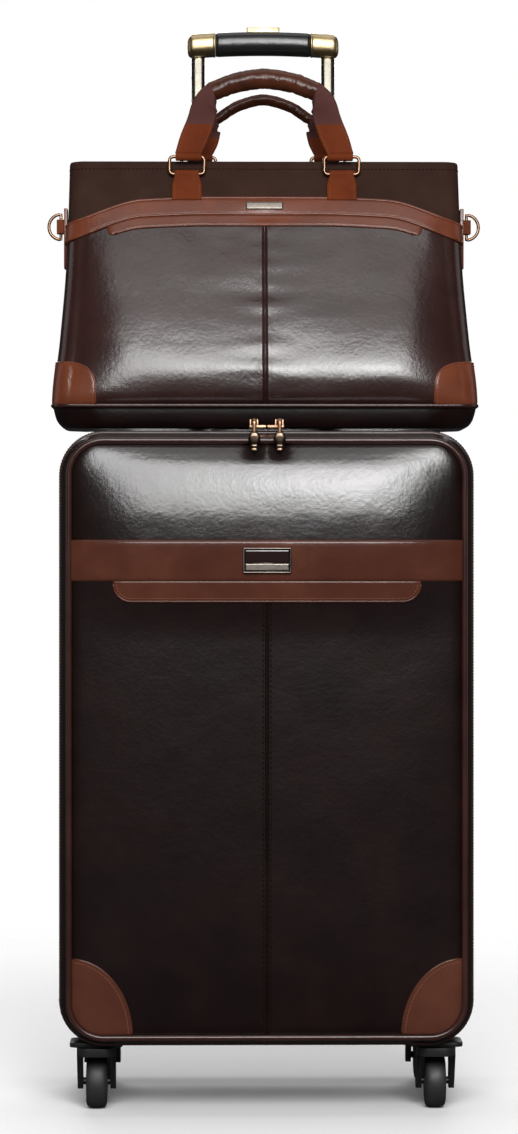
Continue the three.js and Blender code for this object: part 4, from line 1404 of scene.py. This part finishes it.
def bag_zip(start, end, z):
    """Zip teeth between two points in a level line along X, on a woven tape."""
    tape = [(x, zip_y, z - 0.5 * MM) for x in np.linspace(start, end, 40)]
    ribbon("bag_zip_tape", tape, (0, 1, 0), 9 * MM, 0.8 * MM, TAPE, "bag")
    points, faces = [], []
    for i, x in enumerate(np.arange(start, end, 1.5 * MM)):
        side = 1 if i % 2 else -1
        base = len(points)
        for dx in (-0.6, 0.6):
            for dy, dz in ((-0.5, 0), (-0.4, 0.9), (1.3, 0.9), (1.7, 0)):
                points.append((x + dx * MM, zip_y + side * dy * MM, z + dz * MM))
        faces += tooth_faces(base)
    piece("bag_zip_teeth", points, faces, COPPER, "bag").data.shade_flat()


bag_zip(-150 * MM, 150 * MM, top_high.z - 0.2 * MM)
polished("bag_zip_slider", COPPER, "bag_zip_slider", 0.6 * MM)

rim = bag_ring(RIM_SEAM, 0.1 * MM)
stitches("bag_rim_stitching", rim, (0.02, 0, 1), THREAD_DARK, "bag", closed=True)
shoulder = band_low(BAND_REACH) + BAND_HEIGHT / 2
behind_band = [t for t in bag_stations(shoulder) if t > BAND_REACH]
tube(
    "bag_shoulder_piping", both_ways(behind_band, shoulder, 0.4 * MM), 1.3 * MM, BINDING, "bag",
    sides=8,
)

# ---------------------------------------------------------------- the briefcase's rings, tabs and handles
RING_WIRE = 1.5 * MM
STRAP_WIDTH = 25 * MM
STRAP_SPLIT = 0.47  # the share of a strap's height where it starts to wrap the grip
LOOP = 2.9 * MM  # from a bar's middle to the middle of the leather that wraps it


def ring_path(low, high, middle_y, corner=3.2 * MM):
    """The centre line of a rectangular wire ring that stands in a plane of constant y."""
    half = (high - low) / 2 - Vector((RING_WIRE, 0, RING_WIRE))
    centre = (low + high) / 2
    return [(centre.x + x, middle_y, centre.z + z) for x, z in rounded_box(half.x, half.z, corner)]


def bag_tab(node, bar_x, bar_y, bar_z, facing):
    """A leather tab: from the bag's wall it goes up, over the ring's lower bar and down inside."""
    levels = np.linspace(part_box(node)[0].z - 4 * MM, bar_z - 9 * MM, 8)

    def leaf(out):
        if facing > 0:
            return [(BAG_BACK + out, level) for level in levels]
        return [(on_bag(bar_x, level - BAG_BASE, out)[1], level) for level in levels]

    wall = leaf(2.6 * MM)
    angles = np.linspace(-0.35, math.pi + 0.35, 16)
    turn = [(bar_y + facing * LOOP * math.cos(a), bar_z + LOOP * math.sin(a)) for a in angles]
    path = [(bar_x, y, z) for y, z in wall + turn + leaf(1.1 * MM)[::-1]]
    widths = [(26 - 5 * smoothstep(bar_z - 9 * MM, bar_z - 1 * MM, z)) * MM for _, _, z in path]
    ribbon(f"{node}_leather", path, (1, 0, 0), widths, 1.4 * MM, STRAP, "bag", (node,))
    for name, side in SIDES:
        line = [(bar_x + side * 10.4 * MM, y + facing * 0.8 * MM, z) for y, z in wall]
        stitches(f"{node}_stitching_{name}", line, (0, facing, 0), THREAD_TAN, "bag", STRAP_STITCH)


for end, facing in (("front", -1), ("rear", 1)):
    for name, side in SIDES:
        ring_low, ring_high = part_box(f"{end}_ring_{name}")
        ring_y = (ring_low.y + ring_high.y) / 2
        ring_x = (ring_low.x + ring_high.x) / 2
        tube(
            f"{end}_ring_wire_{name}", ring_path(ring_low, ring_high, ring_y), RING_WIRE, COPPER,
            f"{end}_rings", (f"{end}_ring_{name}",), closed=True,
        )
        bag_tab(f"bag_tab_{end}_{name}", ring_x, ring_y, ring_low.z + RING_WIRE, facing)


def handle(end, grip_half, grip_radius, grip_end, apex, strap_x, strap_top_width):
    """A bag handle: two straps that rise from the rings and wrap the ends of a rolled grip."""
    ring_low, ring_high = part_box(f"{end}_ring_right")
    bar = Vector(
        ((ring_low.x + ring_high.x) / 2, (ring_low.y + ring_high.y) / 2, ring_high.z - RING_WIRE)
    )
    body = f"{end}_handle"
    arch = smooth_curve(
        [
            (-grip_half, grip_end), (-grip_half / 2, grip_end + 0.72 * (apex - grip_end)), (0, apex),
            (grip_half / 2, grip_end + 0.72 * (apex - grip_end)), (grip_half, grip_end),
        ]
    )
    columns = np.linspace(-grip_half, grip_half, 90)
    rings = []
    for x in columns:
        slope = (
            arch(min(x + MM, grip_half))
            - arch(max(x - MM, -grip_half))
        ) / (2 * MM if abs(x) < grip_half - MM else MM)
        tilt = math.atan(slope)
        ring = []
        for i in range(28):
            angle = 2 * math.pi * i / 28
            wrinkle = 1 + 0.06 * noise.noise(
                Vector((x * 330, math.cos(angle) * 1.2, math.sin(angle) * 1.2 + 9))
            )
            wrinkle += 0.05 * noise.noise(Vector((x * 130, 3, 2))) * math.sin(angle)
            swell = 0.93 + 0.07 * math.cos(x / grip_half * math.pi / 2)
            r = grip_radius * wrinkle * swell
            dy, dz = r * math.cos(angle), r * math.sin(angle)
            ring.append((x - dz * math.sin(tilt), bar.y + dy, arch(x) + dz * math.cos(tilt)))
        rings.append(ring)
    grip = loft(f"{end}_handle_grip", rings, ROLLED, body, (body,))
    for name, side in SIDES:
        across = smooth_curve([(i / 4, x * MM) for i, x in enumerate(strap_x)])
        z0, z1 = bar.z + LOOP, grip_end
        width_of = smooth_curve(
            [
                (0, STRAP_WIDTH - 1.5 * MM), (0.3, STRAP_WIDTH + 1.0 * MM), (0.6, STRAP_WIDTH - 1 * MM),
                (0.85, strap_top_width + 4 * MM), (1, strap_top_width),
            ]
        )
        path, widths = [], []
        for share in np.linspace(0, STRAP_SPLIT, 24):
            path.append((side * across(share), bar.y, z0 + (z1 - z0) * share))
            widths.append(width_of(share))
        thick = (3.2 if end == "front" else 2.6) * MM
        ribbon(f"{end}_handle_strap_lower_{name}", path, (1, 0, 0), widths, thick, STRAP, body)
        for edge in (-1, 1):
            line = [
                (x + edge * (w / 2 - 2.4 * MM), y - thick / 2 - 0.05 * MM, z)
                for (x, y, z), w in zip(path, widths)
            ]
            stitches(
                f"{end}_handle_stitching_{name}_{'in' if edge < 0 else 'out'}", line, (0, -1, 0),
                THREAD_TAN, body, STRAP_STITCH,
            )
        rings = []
        for share in np.linspace(STRAP_SPLIT - 0.05, 1, 30):
            wrap = smoothstep(STRAP_SPLIT, 1, share)
            angle = math.radians(68) * smoothstep(0.62, 1, share)
            out = Vector((side * math.cos(angle), 0, math.sin(angle)))
            middle = Vector((side * across(share), bar.y, z0 + (z1 - z0) * share))
            power = 2 + 5 * (1 - wrap)
            deep = (1.2 + (grip_radius / MM - 1.0) * wrap) * MM
            section = round_section(width_of(share) / 2, deep, power, 36)
            crease = 0.35 * MM * wrap * (1 - wrap) * 4
            ring = []
            for k, (a, b) in enumerate(section):
                pinch = crease * noise.noise(Vector((k * 0.7, share * 6, side * 3)))
                ring.append(middle + out * float(a + pinch) + Vector((0, float(b + pinch), 0)))
            rings.append(ring)
        loft(f"{end}_handle_strap_upper_{name}", rings, PLUM, body)
        turn = [
            (side * strap_x[0] * MM, bar.y + LOOP * math.sin(a), bar.z + LOOP * math.cos(a))
            for a in np.linspace(-0.2, 2 * math.pi - 0.3, 24)
        ]
        ribbon(
            f"{end}_handle_loop_{name}", turn, (1, 0, 0), STRAP_WIDTH - 2.5 * MM, 1.5 * MM, STRAP, body,
        )


handle(
    "front", 46 * MM, 8.8 * MM, BAG_BASE + 293 * MM, BAG_BASE + 304.5 * MM,
    (65.5, 60.5, 55.8, 51.5, 44.5), 18.4 * MM,
)
handle(
    "rear", 42 * MM, 5.0 * MM, BAG_BASE + 276 * MM, BAG_BASE + 294 * MM, (56, 53.5, 51, 48, 41),
    11 * MM,
)

for name, side in SIDES:
    d_low, d_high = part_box(f"d_ring_{name}")
    d_y = (d_low.y + d_high.y) / 2
    flat_x = (d_low.x if side > 0 else d_high.x) + side * RING_WIRE
    tip_x = (d_high.x if side > 0 else d_low.x) - side * RING_WIRE
    d_middle = (d_low.z + d_high.z) / 2
    d_half = (d_high.z - d_low.z) / 2 - RING_WIRE
    arch = [
        (flat_x + (tip_x - flat_x) * math.cos(a), d_y, d_middle + d_half * math.sin(a))
        for a in np.linspace(-math.pi / 2, math.pi / 2, 24)
    ]
    bar = [(flat_x, d_y, z) for z in np.linspace(d_middle + d_half, d_middle - d_half, 8)[1:-1]]
    tube(
        f"d_ring_wire_{name}", arch + bar, RING_WIRE * 0.95, COPPER, f"d_ring_{name}",
        (f"d_ring_{name}",), closed=True,
    )
    polished(f"bag_side_tab_{name}", TAN, "bag", 0.9 * MM)

# ---------------------------------------------------------------- the back: sleeve and carry handle
sleeve_low, sleeve_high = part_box("bag_sleeve")
sleeve_half = sleeve_high.x - 1.2 * MM
sleeve_back = sleeve_high.y - 0.9 * MM
sleeve_middle = (sleeve_low.z + sleeve_high.z) / 2
SLEEVE_BEND = 13 * MM


def sleeve_plan(lift=0.0, inset=0.0):
    """The sleeve from above: out from the bag's back, round two soft corners and along."""
    path = [
        (-sleeve_half - lift, y)
        for y in np.linspace(sleeve_low.y + 0.5 * MM, sleeve_back - SLEEVE_BEND, 8)
    ]
    for angle in np.linspace(0, math.pi / 2, 9)[1:]:
        x = sleeve_half - SLEEVE_BEND + (SLEEVE_BEND + lift) * math.cos(angle)
        path.append((-x, sleeve_back - SLEEVE_BEND + (SLEEVE_BEND + lift) * math.sin(angle)))
    path += [(x, sleeve_back + lift) for x in np.linspace(-sleeve_half + SLEEVE_BEND, 0, 16)[1:]]
    return path + [(-x, y) for x, y in reversed(path[:-1])]


ribbon(
    "bag_sleeve_leather", [(x, y, sleeve_middle) for x, y in sleeve_plan()], (0, 0, 1),
    sleeve_high.z - sleeve_low.z, 2.2 * MM, DARK, "bag", ("bag_sleeve",),
)
for name, z in (("upper", sleeve_high.z), ("lower", sleeve_low.z)):
    inward = -1 if name == "upper" else 1
    tube(
        f"bag_sleeve_binding_{name}", [(x, y, z + inward * 1.3 * MM) for x, y in sleeve_plan(0.4 * MM)],
        1.4 * MM, BINDING, "bag", sides=10,
    )
    stitches(
        f"bag_sleeve_stitching_{name}", [(x, y, z + inward * 7 * MM) for x, y in sleeve_plan(1.2 * MM)],
        (0, 0.3, 1), THREAD_DARK, "bag",
    )

carry_low, carry_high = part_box("carry_handle")
carry_y = (carry_low.y + carry_high.y) / 2
CARRY_PAD = 20 * MM


def carry_path(low, high):
    """The low arch of the carry handle between its two sewn pads."""
    reach = carry_high.x - 1 * MM
    return [
        (x, carry_y, low + (high - low) * smoothstep(0, 14 * MM, reach - CARRY_PAD + 8 * MM - abs(x)))
        for x in np.linspace(-reach, reach, 70)
    ]


ribbon(
    "carry_handle_strap", carry_path(CASE_TOP + 1.4 * MM, carry_high.z - 1.6 * MM), (0, 1, 0), 17 * MM,
    2.6 * MM, BINDING, "case", ("carry_handle",),
)
for name, side in SIDES:
    pad = side * (carry_high.x - CARRY_PAD / 2)
    corners = [(pad - 8 * MM, -1), (pad + 8 * MM, -1), (pad + 8 * MM, 1), (pad - 8 * MM, 1)]
    loop = [(x, carry_y + k * 7.5 * MM, CASE_TOP + 2.7 * MM) for x, k in corners]
    stitches(
        f"carry_pad_stitching_{name}", loop, (0.02, 0.01, 1), THREAD_TAN, "case", BAG_STITCH,
        closed=True, slot="dark_leather",
    )
stitches(
    "case_back_stitching", case_ring(20 * MM, case_back + 0.1 * MM), (0.01, 1, 0.02), THREAD_DARK,
    "case", closed=True,
)

# ---------------------------------------------------------------- inside the case
BOARD_FACE = board_low.y - 0.4 * MM


def packing_strap(name, start, end):
    """An elastic strap across the packing space, which lies on the lining."""
    path = []
    for share in np.linspace(0, 1, 40):
        x = start[0] + (end[0] - start[0]) * share
        z = start[1] + (end[1] - start[1]) * share
        path.append((x, BOARD_FACE - (1.5 + 5 * math.sin(math.pi * share)) * MM, z))
    along = np.array((end[0] - start[0], 0, end[1] - start[1]))
    ribbon(name, path, np.cross(along, (0, 1, 0)), 24 * MM, 1.6 * MM, TAPE, "case")


strap_reach = CASE_HALF - 30 * MM
for level, foot, end in (("low", CASE_BOTTOM + 60 * MM, -4), ("high", CASE_TOP - 60 * MM, 4)):
    for name, side in SIDES:
        start, finish = (side * strap_reach, foot), (side * 14 * MM, CASE_MIDDLE + end * MM)
        packing_strap(f"packing_strap_{name}_{level}", start, finish)


def on_buckle(x, z, out):
    return (x, BOARD_FACE - 3 * MM - out, z)


plate("packing_buckle", (0, CASE_MIDDLE), 24 * MM, 17 * MM, 5 * MM, 5 * MM, PLASTIC, "case", on_buckle)
LID_FACE = lid_front + 3.4 * MM


def lid_pocket():
    """A gathered cloth pocket on the inside of the lid."""
    half_x, low, high = 128 * MM, CASE_BOTTOM + 40 * MM, CASE_BOTTOM + 330 * MM
    columns, rows = np.linspace(-1, 1, 90), np.linspace(0, 1, 50)
    points = []
    for v in rows:
        for u in columns:
            edge = min(1 - abs(u), v, 0.6) / 0.12
            gather = math.sin(u * 75) * 0.9 * MM * v**3
            puff = (1.2 + 5 * min(1, edge) * v) * MM + gather * min(1, (1 - abs(u)) / 0.05)
            soft = 0.8 * MM * noise.noise(Vector((u * 5, v * 7, 4)))
            points.append((u * half_x, LID_FACE + puff + soft * min(1, edge), low + v * (high - low)))
    piece("lid_pocket_cloth", points, grid_faces(90, 50), LINING, "lid")
    hem = [
        (u * half_x, LID_FACE + 6 * MM * min(1, (1 - abs(u)) / 0.12) + 1.6 * MM, high)
        for u in columns
    ]
    tube("lid_pocket_elastic", hem, 3.2 * MM, TAPE, "lid")
    frame_path = [(-half_x, LID_FACE + 1.2 * MM, z) for z in np.linspace(high, low, 30)]
    frame_path += [(x, LID_FACE + 1.2 * MM, low) for x in np.linspace(-half_x, half_x, 40)]
    frame_path += [(half_x, LID_FACE + 1.2 * MM, z) for z in np.linspace(low, high, 30)]
    tube("lid_pocket_binding", frame_path, 1.9 * MM, BINDING, "lid", sides=8)


lid_pocket()
